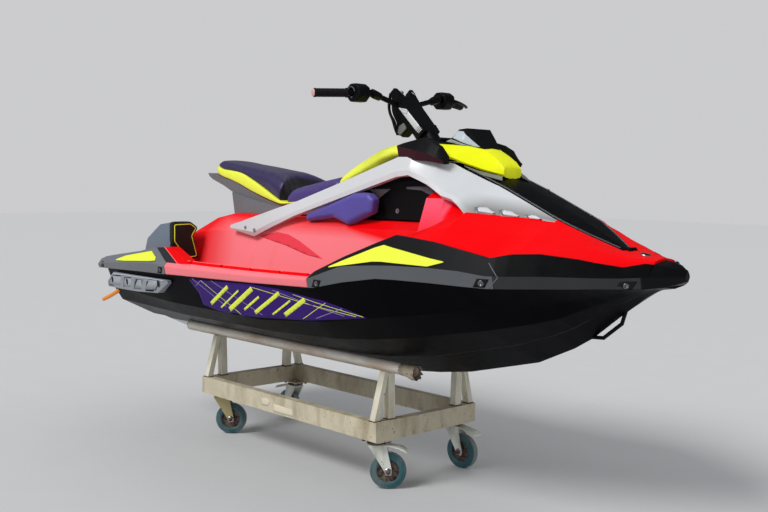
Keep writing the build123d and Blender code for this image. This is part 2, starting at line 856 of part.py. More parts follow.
def make_nozzle():
    # Steering nozzle on its upright pins
    pivot = pivot_x()
    front, end = pivot + 8, pivot + 8 - nozzle_length
    outer = drum(front, end, nozzle_bore + nozzle_wall, nozzle_exit + nozzle_wall)
    for side in (-1, 1):
        top = pump_z + side * (nozzle_bore + nozzle_wall + 6)
        outer += rod((pivot, 0, pump_z + side * (nozzle_bore - 4)), (pivot, 0, top), 12)
    outer -= drum(front + 1, end - 1, nozzle_bore, nozzle_exit)
    hole = rod((pivot, 0, pump_z - 120), (pivot, 0, pump_z + 120), pin_radius + running_gap)
    return outer - hole


def make_bucket():
    # Reverse bucket above the nozzle
    pivot = pivot_x()
    start, end = (pivot, -bucket_half - 4, pump_z), (pivot, bucket_half + 4, pump_z)
    shell = rod(start, end, bucket_reach) - rod(start, end, bucket_reach - bucket_wall)
    wedge = [(-20, 30), (-100, 220), (-220, 100), (-130, 30)]
    sector = [(pivot + x, pump_z + z) for x, z in wedge]
    shape = shell & plate(sector, -bucket_half - 20, 2 * bucket_half + 40)
    outline = [(12, -12), (12, 20), (-66, 142), (-134, 80), (-12, -12)]
    for side in (-1, 1):
        points = [(pivot + x, pump_z + z) for x, z in outline]
        shape += plate(points, side * bucket_half, side * 4)
        head = (pivot, side * (bucket_half + 2), pump_z)
        shape += rod(head, (pivot, side * (bucket_half - 15), pump_z), pin_radius)
    return shape


def make_impeller():
    # Impeller with four twisted blades
    front = pump_face() - 22
    shape = rod((front, 0, pump_z), (front - 78, 0, pump_z), 28)
    for step in range(4):
        rows = []
        for back, twist in ((6, 0), (40, 28), (74, 56)):
            tip = pump_bore - blade_gap
            corners = [Vector(front - back, y, pump_z + z) for y, z in ((-2, 24), (2, 24), (2, tip), (-2, tip))]
            face = Face(Wire.make_polygon(corners, close=True))
            rows.append(face.rotate(Axis((0, 0, pump_z), (1, 0, 0)), twist + 90 * step))
        shape += loft(rows, ruled=True)
    return shape


def make_trolley():
    # Welded rectangular frame with caster plates
    half = trolley_width / 2
    frame = block(trolley_rear, trolley_front, -half, half, frame_bottom, frame_top)
    rear, front, side = trolley_rear + rail_thick, trolley_front - rail_thick, half - rail_thick
    frame -= block(rear, front, -side, side, frame_bottom - 1, frame_top + 1)
    for name, x, y, heading in casters:
        frame += block(x - 52, x + 52, y - 42, y + 42, frame_bottom - plate_thick, frame_bottom)
        frame -= rod((x, y, frame_bottom - 20), (x, y, frame_bottom + 14), axle_radius + running_gap)
    return frame


def make_legs():
    # Four inverted V stands for the tubes
    half = trolley_width / 2
    middle = -tube_y
    outer = [(-half + 2, frame_top), (-half + 32, frame_top), (middle, tube_z - 14), (middle - 24, tube_z - 20)]
    inner = [(middle + 2, frame_top), (middle + 38, frame_top), (middle + 30, tube_z - 16), (middle - 4, tube_z - 20)]
    shapes = []
    for x in (trolley_front - 44, trolley_rear + 13):
        for outline in (outer, inner):
            face = Face(Wire.make_polygon([Vector(x, y, z) for y, z in outline], close=True))
            shapes.append(extrude(face, leg_thick, dir=(1, 0, 0)))
    tube = rod((tube_rear, middle, tube_z), (tube_front, middle, tube_z), tube_radius)
    return pair(joined(shapes) - tube)


def make_tubes():
    # Two round tubes the hull rests on
    tube = rod((tube_rear, -tube_y, tube_z), (tube_front, -tube_y, tube_z), tube_radius)
    tube -= rod((tube_rear - 1, -tube_y, tube_z), (tube_front + 1, -tube_y, tube_z), tube_bore)
    return pair(tube)


def make_fork():
    # Swivel race, king pin and fork of a caster, offset along +X
    top = frame_bottom - plate_thick - 1
    half = wheel_width / 2 + side_gap
    shape = Pos(0, 0, top - 8) * Cylinder(34, 16)
    shape += Pos(0, 0, top) * Cylinder(axle_radius, 24)
    shape += block(-32, 42, -half - 4, half + 4, top - 22, top - 16)
    low = wheel_radius
    outline = [
        (-32, top - 18), (42, top - 18), (caster_trail + 16, low - 1), (caster_trail + 12, low - 15),
        (caster_trail - 10, low - 15), (caster_trail - 16, low + 1),
    ]
    for side in (-1, 1):
        shape += plate(outline, side * half, side * 4)
    return shape + rod((caster_trail, -half - 8, low), (caster_trail, half + 8, low), axle_radius)


def make_wheel():
    # Tyre and spoked hub of a caster
    rim = wheel_radius - tyre_depth
    half = wheel_width / 2
    plane = Plane(origin=(caster_trail, -half, wheel_radius), z_dir=(0, 1, 0))
    tyre = extrude(plane * Circle(wheel_radius), wheel_width) - extrude(plane * Circle(rim), wheel_width)
    rims = [e for e in tyre.edges().filter_by(GeomType.CIRCLE) if abs(e.radius - wheel_radius) < 1]
    tyre = fillet(rims, 8)
    profile = [
        (axle_radius + running_gap, -half - 3), (17, -half - 3), (19, -6), (rim - 9, -6), (rim - 6, -half),
        (rim, -half), (rim, half), (rim - 6, half), (rim - 9, 6), (19, 6), (17, half + 3),
        (axle_radius + running_gap, half + 3),
    ]
    points = [Vector(caster_trail + r, y, wheel_radius) for r, y in profile]
    face = Face(Wire.make_polygon(points, close=True))
    return tyre, revolve(face, Axis((caster_trail, 0, wheel_radius), (0, 1, 0)), 360)


def off_axis(along, ahead):
    # X and Z of a point measured up the steering axis and square to it, towards the bow
    lean = math.radians(steer_lean)
    x, y, z = steer_point(along)
    return x + ahead * math.cos(lean), z + ahead * math.sin(lean)


def post_face(along, rear, front, wide):
    # A rectangle across the steering axis, from one side of it to the other
    corners = []
    for ahead, y in ((-rear, -wide), (front, -wide), (front, wide), (-rear, wide)):
        x, z = off_axis(along, ahead)
        corners.append(Vector(x, y, z))
    return Face(Wire.make_polygon(corners, close=True))


def switch_pod(x, y, z):
    # Eight-sided case for the switches at one grip
    long, wide, high = pod_size
    lower = [(-0.5, -0.2), (-0.25, -0.5), (0.2, -0.5), (0.5, -0.15)]
    upper = [(0.42, 0.3), (0.15, 0.5), (-0.25, 0.5), (-0.5, 0.25)]
    outline = [(x + a * long, z + c * high) for a, c in lower + upper]
    return plate(outline, y - wide / 2, wide)


def make_steering():
    # Post with its column, bar, grips and switch pods
    post = skin([post_face(0, 34, 22, 45), post_face(post_knee, 46, 8, 50), post_face(post_length, 26, 6, 56)])
    notch = skin([post_face(notch_start, 80, 60, 14), post_face(post_length + 10, 80, 60, 42)])
    post = post - notch + rod(steer_point(0), steer_point(-column_length), column_radius)
    x, low = off_axis(bar_along, -bar_back)
    bar = rod((x, -bar_bend, low), (x, bar_bend, low), bar_radius)
    slope = bar_sweep / (grip_end_y - bar_elbow)
    grips, pods = [], []
    for side in (-1, 1):
        bend, elbow = (x, side * bar_bend, low), (x, side * bar_elbow, bar_height + elbow_rise)
        end = (x - bar_sweep, side * grip_end_y, bar_height)
        bar += rod(bend, elbow, bar_radius) + rod(elbow, end, bar_radius)
        bar += Pos(*bend) * Sphere(bar_radius + 0.5) + Pos(*elbow) * Sphere(bar_radius + 0.5)
        start = (x - slope * (grip_start_y - bar_elbow), side * grip_start_y, bar_height + elbow_rise / 2)
        tip = (end[0] - slope * 6, side * (grip_end_y + 6), bar_height)
        grips.append(rod(start, tip, grip_radius))
        pods.append(switch_pod(x - slope * (pod_y - bar_elbow), side * pod_y, bar_height + 8))
    rods = joined(grips)
    cases = joined(pods) - bar - rods
    return post - bar, bar, rods - bar, cases


def make_inserts():
    # Panels on the side fairings and the stern bumpers
    front = [(380, 926, 930), (614, 964, 1014), (655, 966, 1026), (851, 961, 990), (905, 978, 981)]
    back = [(-1310, 838, 842), (-1207, 842, 868), (-935, 860, 908), (-885, 866, 880)]
    pieces = []
    for table in (front, back):
        rows = []
        for x in stations((band, table), table[0][0], table[-1][0]):
            low, high = row_at(table, x, 1)
            half, bottom, ridge, top = row_at(band, x, 1)
            points = []
            for z, out in ((low, 1.2), (low, insert_lift), (high, insert_lift), (high, 1.2)):
                points.append((-(half - 20 * (z - ridge) / (top - ridge) + out), z))
            rows.append(ring(x, points))
        pieces.append(pair(skin(rows)))
    return pieces


def make_mirrors():
    # Mirror pod on each side of the dash
    rows = []
    for row in mirror_lines:
        rows.append(ring(row[0], [(row[n], row[n + 1]) for n in range(1, 11, 2)]))
    room = block(mirror_gap_start * scale_x, 720 * scale_x, -mirror_gap_y * scale_y, 0, 1200, 1500)
    return pair(skin(rows) - room - dash - side_arches)


def make_grate():
    # Intake grate: a frame that fits the intake, with bars along the flow
    x, ring_x = -890 * scale_x, pump_face() - 2
    ends = []
    for side in (-1, 1):
        top = pump_z + side * pump_bore
        ends.append(ring_x + (x + side * 165 - ring_x) * (top - grate_z) / (top - 400))
    middle, half = (ends[0] + ends[1]) / 2, (ends[1] - ends[0]) / 2
    shape = block(ends[0] - 40, ends[1] + 40, -90, 90, grate_z - 3, grate_z + 3) & make_intake()
    for y, share in ((-37, 0.65), (-12.5, 0.81), (12.5, 0.81), (37, 0.65)):
        reach = share * half
        shape -= block(middle - reach, middle + reach, y - 8.5, y + 8.5, grate_z - 20, grate_z + 20)
    return shape


def make_ride_plate():
    # V shaped plate under the pump
    half = pump_bore + pump_wall + 39
    rear = transom * scale_x - 10
    low, rise = pump_z - pump_bore - plate_drop, half * 0.45
    points = [(0, low), (-half, low + rise), (-half, low + 8 + rise), (0, low + 8)]
    points += [(half, low + 8 + rise), (half, low + rise)]
    face = Face(Wire.make_polygon([Vector(rear, y, z) for y, z in points], close=True))
    return extrude(face, pump_face() - rear, dir=(1, 0, 0))


def make_tow_eyes():
    # Loop on the stem and an eye plate on each side of the transom
    points = []
    for x, out in ((1196, -8.0), (1230, loop_reach), (1304, loop_reach), (1338, -8.0)):
        keel = value(hull_lines, x, 1)
        points.append((x * scale_x + 0.62 * out, 0, keel - 0.78 * out))
    loop = joined([rod(a, b, loop_radius) for a, b in zip(points, points[1:])])
    for place in points[1:3]:
        loop += Pos(*place) * Sphere(loop_radius + 0.3)
    rear = transom * scale_x
    ear = block(rear - 48, rear, -304, -296, 600, 650)
    ear -= rod((rear - 26, -310, 625), (rear - 26, -290, 625), eye_radius)
    return Compound(children=[loop - hull, ear, mirror(ear, Plane.XZ)])


os.makedirs("parts", exist_ok=True)
tube_z = tube_height()
stern_bumpers, gunwale_rails, side_fairings, bow_bumper = make_band()
fairing_inserts, stern_inserts = make_inserts()
side_arches = make_arches()
hull = make_hull()
footwell_liners = make_liners()
stern_deck = make_stern_deck()
pedestal = make_pedestal()
bow_deck = make_bow_deck()
hood = make_hood()
cowl = make_cowl()
console = make_console()
strip_piece = make_strip()
dash = make_dash()
seat_cushion, seat_skirt = make_seat()
heel_chocks, heel_pads = make_chocks()
post, bar, grips, pods = make_steering()
fork = make_fork()
tyre, hub = make_wheel()
nodes = {
    "hull": hull,
    "stern_deck": stern_deck,
    "side_decks": make_side_decks(),
    "footwell_liners": footwell_liners,
    "pedestal": pedestal,
    "bow_deck": bow_deck,
    "stern_bumpers": stern_bumpers,
    "gunwale_rails": gunwale_rails,
    "side_fairings": side_fairings,
    "bow_bumper": bow_bumper,
    "fairing_inserts": fairing_inserts,
    "stern_inserts": stern_inserts,
    "side_arches": side_arches,
    "console": console,
    "dash": dash,
    "tank_cover": strip_piece,
    "seat_base": make_seat_base(),
    "seat_cushion": seat_cushion,
    "seat_skirt": seat_skirt,
    "knee_pads": make_knee_pads(),
    "heel_chocks": heel_chocks,
    "heel_pads": heel_pads,
    "mirrors": make_mirrors(),
    "sponsons": make_sponsons(),
    "tow_eyes": make_tow_eyes(),
    "engine": make_engine(),
    "ride_plate": make_ride_plate(),
    "intake_grate": make_grate(),
    "pump_housing": make_pump(),
    "steering_nozzle": make_nozzle(),
    "reverse_bucket": make_bucket(),
    "impeller": make_impeller(),
    "drive_shaft": rod((pump_face() - 20, 0, pump_z), (engine_rear() - 1, 0, pump_z), shaft_radius),
    "hood": hood,
    "hood_cowl": cowl,
    "hood_visor": make_visor(),
    "hood_hinge": make_hinge(),
    "steering_post": post,
    "handlebar": bar,
    "handlebar_grips": grips,
    "switch_pods": pods,
    "trolley_frame": make_trolley(),
    "trolley_legs": make_legs(),
    "bunk_tubes": make_tubes(),
}
for name, x, y, heading in casters:
    for kind, shape in (("fork", fork), ("tyre", tyre), ("hub", hub)):
        nodes["caster_" + kind + "_" + name] = Pos(x, y, 0) * Rot(0, 0, heading) * shape
for name, shape in nodes.items():
    export_step(shape, "parts/" + name + ".step")
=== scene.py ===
import math

import bmesh
import bpy
from mathutils import Matrix, Vector
from mathutils.bvhtree import BVHTree


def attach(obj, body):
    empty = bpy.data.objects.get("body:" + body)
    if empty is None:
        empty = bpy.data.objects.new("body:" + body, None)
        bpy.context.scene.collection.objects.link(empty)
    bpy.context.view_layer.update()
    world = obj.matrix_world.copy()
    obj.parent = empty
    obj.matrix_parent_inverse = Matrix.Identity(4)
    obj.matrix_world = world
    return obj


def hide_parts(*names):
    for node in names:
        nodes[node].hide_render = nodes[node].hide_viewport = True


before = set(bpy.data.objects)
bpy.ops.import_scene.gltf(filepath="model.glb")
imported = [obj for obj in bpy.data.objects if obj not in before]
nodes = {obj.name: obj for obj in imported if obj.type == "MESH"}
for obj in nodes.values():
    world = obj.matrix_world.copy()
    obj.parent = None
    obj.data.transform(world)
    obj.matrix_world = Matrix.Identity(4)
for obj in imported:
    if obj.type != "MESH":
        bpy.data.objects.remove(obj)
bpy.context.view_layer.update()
scene = bpy.context.scene
CRAFT = "craft_on_trolley"
STEER = {"body": "steering", "slot": "black"}
MM = 0.001
UP = (0, 0, 1)
SIDES = ((-1, "right"), (1, "left"))
# Where rays at the craft start, beside it and above it, in millimetres
BESIDE, ABOVE = 900.0, 1500.0

# The camera at the photograph's viewpoint: metres, degrees and pixels
CAMERA_PLACE = (3.2956, -3.0133, 1.2510)
CAMERA_TURN, CAMERA_PITCH, CAMERA_ROLL = 46.7143, -4.1776, 0.9859
FOCAL_LENGTH, PHOTO_WIDTH = 1008.349, 768.0
SENSOR_WIDTH = 36.0


def make_camera():
    turn, pitch, roll = (math.radians(angle) for angle in (CAMERA_TURN, CAMERA_PITCH, CAMERA_ROLL))
    ahead = Vector((-math.sin(turn) * math.cos(pitch), math.cos(turn) * math.cos(pitch), math.sin(pitch)))
    level = Vector((math.cos(turn), math.sin(turn), 0))
    above = level.cross(ahead)
    right = level * math.cos(roll) + above * math.sin(roll)
    up = -level * math.sin(roll) + above * math.cos(roll)
    data = bpy.data.cameras.new("camera")
    data.sensor_width = SENSOR_WIDTH
    data.lens = FOCAL_LENGTH * SENSOR_WIDTH / PHOTO_WIDTH
    data.clip_start = 0.05
    camera = bpy.data.objects.new("camera", data)
    place = Matrix.Identity(4)
    for column, axis in enumerate((right, up, -ahead)):
        for row in range(3):
            place[row][column] = axis[row]
    place.translation = Vector(CAMERA_PLACE)
    camera.matrix_world = place
    scene.collection.objects.link(camera)
    scene.camera = camera


# Materials
class Paint:
    # A material's node tree with short ways to add to it

    def __init__(self, name):
        self.name = name
        self.material = bpy.data.materials.new(name)
        self.material.use_nodes = True
        self.tree = self.material.node_tree
        self.tree.nodes.clear()
        out = self.node("OutputMaterial")
        self.shader = self.node("BsdfPrincipled")
        self.link(self.shader.outputs[0], out.inputs[0])
        self.place = self.node("TexCoord").outputs["Object"]

    def node(self, kind):
        return self.tree.nodes.new("ShaderNode" + kind)

    def link(self, start, end):
        self.tree.links.new(start, end)

    def feed(self, socket, value):
        # Links an output to a socket, or sets a constant there
        if isinstance(value, bpy.types.NodeSocket):
            self.link(value, socket)
        elif socket.type == "RGBA":
            socket.default_value = (*value, 1.0)
        else:
            socket.default_value = value

    def give(self, name, value):
        self.feed(self.shader.inputs[name], value)

    def color(self):
        # The colour that the shader has so far
        return self.shader.inputs["Base Color"].links[0].from_socket

    def noise(self, scale, detail=3.0, stretch=None, rough=0.55):
        node = self.node("TexNoise")
        place = self.place
        if stretch:
            shape = self.node("Mapping")
            self.link(place, shape.inputs["Vector"])
            shape.inputs["Scale"].default_value = stretch
            place = shape.outputs[0]
        self.link(place, node.inputs["Vector"])
        for name, number in (("Scale", scale), ("Detail", detail), ("Roughness", rough)):
            node.inputs[name].default_value = number
        return node.outputs["Fac"]

    def cells(self, scale):
        node = self.node("TexVoronoi")
        self.link(self.place, node.inputs["Vector"])
        node.inputs["Scale"].default_value = scale
        return node.outputs["Distance"]

    def spread(self, value, low, high, to_low=0.0, to_high=1.0):
        node = self.node("MapRange")
        self.feed(node.inputs["Value"], value)
        for name, number in (("From Min", low), ("From Max", high), ("To Min", to_low), ("To Max", to_high)):
            node.inputs[name].default_value = number
        return node.outputs[0]

    def math(self, kind, a, b=0.0):
        node = self.node("Math")
        node.operation = kind
        self.feed(node.inputs[0], a)
        self.feed(node.inputs[1], b)
        return node.outputs[0]

    def times(self, a, b):
        return self.math("MULTIPLY", a, b)

    def plus(self, a, b):
        return self.math("ADD", a, b)

    def most(self, a, b):
        return self.math("MAXIMUM", a, b)

    def mix(self, share, a, b):
        node = self.node("Mix")
        node.data_type = "RGBA"
        self.feed(node.inputs["Factor"], share)
        self.feed(node.inputs[6], a)
        self.feed(node.inputs[7], b)
        return node.outputs[2]

    def part(self, axis, whole=None):
        # One part of a vector, which is the place unless another is given
        node = self.node("SeparateXYZ")
        self.link(self.place if whole is None else whole, node.inputs[0])
        return node.outputs["XYZ".index(axis)]

    def facing(self, axis):
        return self.part(axis, self.node("NewGeometry").outputs["True Normal"])

    def ramp(self, axis, low, high):
        # From 0 to 1 between two places along an axis
        return self.spread(self.part(axis), low, high)

    def upturned(self, low, high):
        # From 0 to 1 between two shares by which the surface faces up
        return self.spread(self.facing("Z"), low, high)

    def outward(self):
        # Share by which the surface faces away from the craft's middle plane
        return self.times(self.facing("Y"), self.math("SIGN", self.part("Y")))

    def across(self, axis):
        # Share by which the surface faces along an axis, either way
        node = self.node("VectorMath")
        node.operation = "DOT_PRODUCT"
        self.link(self.node("TexCoord").outputs["Normal"], node.inputs[0])
        node.inputs[1].default_value = axis
        return self.math("ABSOLUTE", node.outputs["Value"])

    def bump(self, height, depth=0.001, strength=0.5):
        node = self.node("Bump")
        node.inputs["Strength"].default_value = strength
        node.inputs["Distance"].default_value = depth
        normal = self.shader.inputs["Normal"]
        if normal.is_linked:
            self.link(normal.links[0].from_socket, node.inputs["Normal"])
        self.link(height, node.inputs["Height"])
        self.link(node.outputs[0], normal)


def shade(color, amount):
    # A lighter or darker tone of a colour
    return tuple(min(1.0, max(0.0, c * amount)) for c in color)


# Each of these gives a paint: plain or textured plastic, vinyl, two tones, and worn paint on metal
def plastic(name, color, rough, vary=0.06, grain=0.0, grain_size=1400.0, metal=0.0, level=0.5):
    paint = Paint(name)
    paint.give("Base Color", paint.mix(paint.noise(5.0), shade(color, 1 - vary), shade(color, 1 + vary)))
    rub = paint.noise(38.0, 4.0)
    paint.give("Roughness", paint.spread(rub, 0.3, 0.7, rough * 0.88, min(1.0, rough * 1.12)))
    paint.give("Metallic", metal)
    paint.give("Specular IOR Level", level)
    if grain:
        paint.bump(paint.noise(grain_size, 2.0), 0.0004, grain)
    return paint


def leather(name, color, grain=0.5, rough=0.5):
    paint = plastic(name, color, rough, vary=0.08)
    paint.bump(paint.cells(520.0), 0.0006, grain)
    paint.bump(paint.noise(1500.0, 2.0), 0.0003, grain * 0.5)
    paint.give("Sheen Weight", 0.12)
    return paint


def two_tone(name, upper, lower, edge, until=9.0):
    # Upper facets in one tone and the facets that look down in another, as far as a place along X
    paint = plastic(name, upper, 0.42, grain=0.22, grain_size=900.0, level=0.14)
    mask = paint.upturned(edge - 0.03, edge + 0.03)
    mask = paint.most(mask, paint.ramp("X", until, until + 0.004))
    speck = paint.noise(6.0, 5.0)
    low = paint.mix(speck, shade(lower, 0.86), shade(lower, 1.12))
    high = paint.mix(speck, shade(upper, 0.9), shade(upper, 1.1))
    paint.give("Base Color", paint.mix(mask, low, high))
    return paint


def worn_paint(name, color, rust=(0.16, 0.075, 0.035), amount=0.5, grime=(0.20, 0.17, 0.11), metal=0.0):
    paint = Paint(name)
    tone = paint.mix(paint.noise(7.0, 6.0), shade(color, 0.72), shade(color, 1.12))
    film = paint.spread(paint.noise(16.0, 9.0, (1.0, 1.0, 0.35)), 0.47, 0.70)
    tone = paint.mix(paint.times(film, 0.75), tone, grime)
    chips = paint.spread(paint.noise(64.0, 10.0, rough=0.7), 0.66 - 0.08 * amount, 0.69 - 0.08 * amount)
    tone = paint.mix(chips, tone, rust)
    paint.give("Base Color", tone)
    paint.give("Roughness", paint.spread(chips, 0.0, 1.0, 0.48, 0.85))
    paint.give("Metallic", metal)
    paint.bump(chips, 0.0006, 0.4)
    paint.bump(paint.noise(240.0, 3.0), 0.0005, 0.35)
    return paint


red = (0.92, 0.0015, 0.004)
# Coral is red as strong sunlight shows it: a painted highlight on the red mouldings
coral = (0.95, 0.215, 0.245)


def deck_paint(name, low, high):
    # Red moulding with painted light: coral as painted sunlight on its lit flank, turning to its own red
    # between two heights, towards the stern and at the front top
    paint = plastic(name, red, 0.40, level=0.12)
    climb = paint.ramp("Z", low, high)
    climb = paint.most(climb, paint.ramp("X", -0.60, -0.86))
    slope = paint.plus(paint.part("Z"), paint.times(paint.part("X"), 0.15))
    front = paint.times(paint.spread(slope, 1.058, 1.092), paint.ramp("X", 0.06, 0.17))
    climb = paint.most(climb, front)
    wave = paint.times(paint.math("SUBTRACT", paint.noise(3.0), 0.5), 0.25)
    share = paint.spread(paint.plus(climb, wave), 0.0, 1.0)
    paint.give("Base Color", paint.mix(share, coral, red))
    return paint


def tyre_paint(name, heading):
    # Teal sidewalls with a grey worn tread and radial scuffs
    paint = worn_paint(
        name, (0.020, 0.098, 0.118), amount=0.2, rust=(0.30, 0.30, 0.27), grime=(0.16, 0.19, 0.18),
    )
    wall = paint.color()
    turn = math.radians(heading)
    flat = paint.spread(paint.across((-math.sin(turn), math.cos(turn), 0.0)), 0.30, 0.62)
    tread = paint.mix(paint.noise(30.0, 8.0), (0.10, 0.125, 0.125), (0.27, 0.29, 0.27))
    paint.give("Base Color", paint.mix(flat, tread, wall))
    return paint


def tube_paint():
    # Worn tube with a painted highlight: pale along its top and outer side, streaked with rust-brown there,
    # and brown with dirt below
    paint = worn_paint(
        "tube_steel", (0.50, 0.42, 0.33), amount=0.6, rust=(0.30, 0.17, 0.10), grime=(0.30, 0.22, 0.15),
    )
    under = paint.color()
    # Painted highlight along the top and outer side, mixed with rust-brown
    rub = paint.noise(9.0, 8.0, (0.3, 1.0, 1.0))
    top = paint.mix(paint.spread(rub, 0.40, 0.62), (0.98, 0.94, 0.85), (0.66, 0.47, 0.33))
    high = paint.spread(paint.plus(paint.facing("Z"), paint.outward()), 0.1, 1.1)
    paint.give("Base Color", paint.mix(high, under, top))
    paint.give("Roughness", 0.34)
    return paint


def silver_paint():
    # Light silver with painted light: its faces that look down carry a painted pink reflection of the red
    # deck, and a painted shade darkens the hollow above the gills
    paint = plastic("silver", (0.71, 0.72, 0.735), 0.36, metal=0.10, vary=0.03, level=0.3)
    top = paint.color()
    high = paint.upturned(-0.32, -0.16)
    low = paint.mix(paint.noise(5.0), (0.62, 0.50, 0.51), (0.68, 0.55, 0.56))
    # Painted shade in the hollow above the gills, darker towards the arch's lower edge
    over = paint.plus(paint.part("Z"), paint.times(paint.part("X"), 0.154))
    dish_shade = paint.times(paint.spread(over, 1.346, 1.300), paint.ramp("X", 0.79, 0.87))
    top = paint.mix(dish_shade, top, (0.30, 0.30, 0.295))
    paint.give("Base Color", paint.mix(high, low, top))
    paint.bump(paint.noise(900.0, 2.0), 0.0002, 0.2)
    return paint


def bow_paint():
    # Red deck whose upright flares beside the console are painted coral as painted sunlight, paler higher up
    paint = plastic("bow_red", red, 0.45, vary=0.04, level=0.04)
    deck = paint.color()
    flare = paint.times(
        paint.upturned(0.70, 0.58), paint.ramp("X", 0.82, 0.78),
    )
    climb = paint.mix(paint.ramp("Z", 1.07, 1.17), (0.93, 0.035, 0.06), (0.95, 0.10, 0.17))
    paint.give("Base Color", paint.mix(flare, deck, climb))
    return paint


def mirror_paint():
    # Black cap over a dark maroon glossy side
    paint = plastic("mirror", (0.006, 0.006, 0.007), 0.40, level=0.10)
    inward = paint.spread(paint.outward(), 0.5, 0.3)
    cap = paint.most(paint.upturned(0.12, 0.22), inward)
    speck = paint.noise(9.0, 4.0)
    side = paint.mix(speck, (0.030, 0.006, 0.011), (0.052, 0.011, 0.018))
    top = paint.mix(speck, (0.0045, 0.0045, 0.005), (0.008, 0.008, 0.009))
    paint.give("Base Color", paint.mix(cap, side, top))
    return paint


paints = {}


def make_paints():
    # Every paint, under its own name
    table = [
        plastic("hull_black", (0.0013, 0.0012, 0.0024), 0.36, level=0.03),
        plastic("red", red, 0.45, vary=0.04, level=0.04),
        # Painted shadow: the darker red that the arch casts on the pedestal's lit flank
        plastic("cast_shadow", (0.84, 0.055, 0.085), 0.42, vary=0.14, level=0.12),
        # Coral plastic: red with painted sunlight, for the lit side decks, rails, rib crests and gusset edges
        plastic("coral", coral, 0.42, level=0.2),
        deck_paint("pedestal", 1.015, 1.085),
        two_tone("bumper", (0.175, 0.185, 0.205), (0.160, 0.166, 0.172), 0.05),
        two_tone("fairing", (0.010, 0.010, 0.012), (0.110, 0.116, 0.124), 0.05),
        two_tone("bow_black", (0.0030, 0.0030, 0.0035), (0.034, 0.036, 0.038), 0.02, until=1.462),
        plastic("black", (0.0042, 0.0042, 0.0047), 0.46, grain=0.25, level=0.10),
        plastic("black_gloss", (0.0024, 0.0024, 0.0027), 0.34, level=0.03),
        mirror_paint(),
        plastic("neon", (0.90, 0.96, 0.065), 0.40, vary=0.03, level=0.2),
        plastic("neon_bright", (0.94, 0.98, 0.004), 0.38, vary=0.03, level=0.2),
        leather("neon_soft", (0.88, 0.95, 0.055), 0.35, 0.55),
        silver_paint(),
        plastic("plate_silver", (0.70, 0.71, 0.72), 0.38, metal=0.1, vary=0.03, level=0.3),
        plastic("silver_dark", (0.25, 0.26, 0.28), 0.40, metal=0.3),
        plastic("pale_panel", (0.22, 0.22, 0.195), 0.45, grain=0.2, grain_size=700.0),
        plastic("visor_grey", (0.50, 0.56, 0.63), 0.42, grain=0.15, grain_size=800.0),
        plastic("base_grey", (0.27, 0.31, 0.36), 0.42, grain=0.15, grain_size=800.0),
        plastic("warm_grey", (0.20, 0.20, 0.205), 0.5, grain=0.3, grain_size=800.0),
        plastic("slate_grey", (0.105, 0.118, 0.14), 0.5, grain=0.3, grain_size=800.0),
        plastic("grey", (0.13, 0.14, 0.155), 0.46, grain=0.3, grain_size=800.0),
        plastic("fin", (0.26, 0.275, 0.30), 0.46, grain=0.25, grain_size=800.0, level=0.3),
        plastic("fin_cell", (0.34, 0.36, 0.39), 0.5, grain=0.3, grain_size=600.0, level=0.3),
        plastic("tray", (0.165, 0.172, 0.185), 0.5, grain=0.25, grain_size=700.0, level=0.25),
        plastic("chock", (0.150, 0.190, 0.235), 0.5, grain=0.3, grain_size=700.0, level=0.25),
        leather("purple", (0.064, 0.038, 0.190), 0.45, 0.38),
        leather("purple_pad", (0.085, 0.064, 0.345), 0.3, 0.46),
        leather("purple_seat", (0.030, 0.018, 0.085), 0.45, 0.38),
        leather("purple_dark", (0.040, 0.024, 0.13), 0.45, 0.42),
        leather("seat_black", (0.010, 0.008, 0.014), 0.5, 0.5),
        plastic("foam", (0.013, 0.013, 0.013), 0.8, grain=0.7, grain_size=300.0),
        bow_paint(),
        plastic("screw_steel", (0.20, 0.20, 0.205), 0.38, metal=1.0),
        plastic("steel", (0.55, 0.55, 0.56), 0.28, metal=1.0),
        plastic("aluminium", (0.50, 0.51, 0.52), 0.42, metal=0.9, grain=0.3),
        plastic("cast", (0.09, 0.09, 0.095), 0.6, grain=0.6, grain_size=260.0),
        worn_paint("cream", (0.62, 0.55, 0.40), amount=0.55, grime=(0.30, 0.235, 0.14)),
        worn_paint("cream_light", (0.78, 0.74, 0.60), amount=0.4, grime=(0.45, 0.38, 0.26)),
        tube_paint(),
        plastic("label", (0.68, 0.61, 0.46), 0.5, vary=0.25, level=0.2),
        worn_paint("fork_paint", (0.74, 0.76, 0.68), amount=0.3),
        worn_paint("zinc", (0.55, 0.46, 0.24), amount=0.5, metal=0.5),
        worn_paint("rusty_hub", (0.13, 0.085, 0.07), amount=2.0, rust=(0.05, 0.035, 0.03)),
        tyre_paint("tyre_46", 46.7),
        tyre_paint("tyre_5", 5.0),
        tyre_paint("tyre_180", 180.0),
        plastic("rubber", (0.010, 0.010, 0.011), 0.62, grain=0.5, grain_size=500.0, level=0.15),
        plastic("pink_end", (0.72, 0.42, 0.42), 0.5, vary=0.25),
        plastic("orange", (0.85, 0.27, 0.02), 0.6, grain=0.8, grain_size=900.0),
        plastic("screen", (0.006, 0.007, 0.009), 0.14, level=0.5),
        worn_paint("sleeve", (0.45, 0.38, 0.28), amount=1.2, rust=(0.25, 0.18, 0.12)),
        plastic("violet_film", (0.034, 0.006, 0.150), 0.40, level=0.1),
        plastic("neon_film", (0.80, 0.90, 0.05), 0.4),
        plastic("pale_film", (0.34, 0.30, 0.42), 0.35),
        plastic("mat", (0.62, 0.05, 0.012), 0.75, grain=0.6, grain_size=400.0),
        plastic("mat_black", (0.016, 0.016, 0.018), 0.75, grain=0.6, grain_size=400.0),
    ]
    paints.update({paint.name: paint.material for paint in table})


def use(name, key):
    # Gives a CAD node a paint in all its slots
    mesh = nodes[name].data
    if not mesh.materials:
        mesh.materials.append(paints[key])
    for index in range(len(mesh.materials)):
        mesh.materials[index] = paints[key]


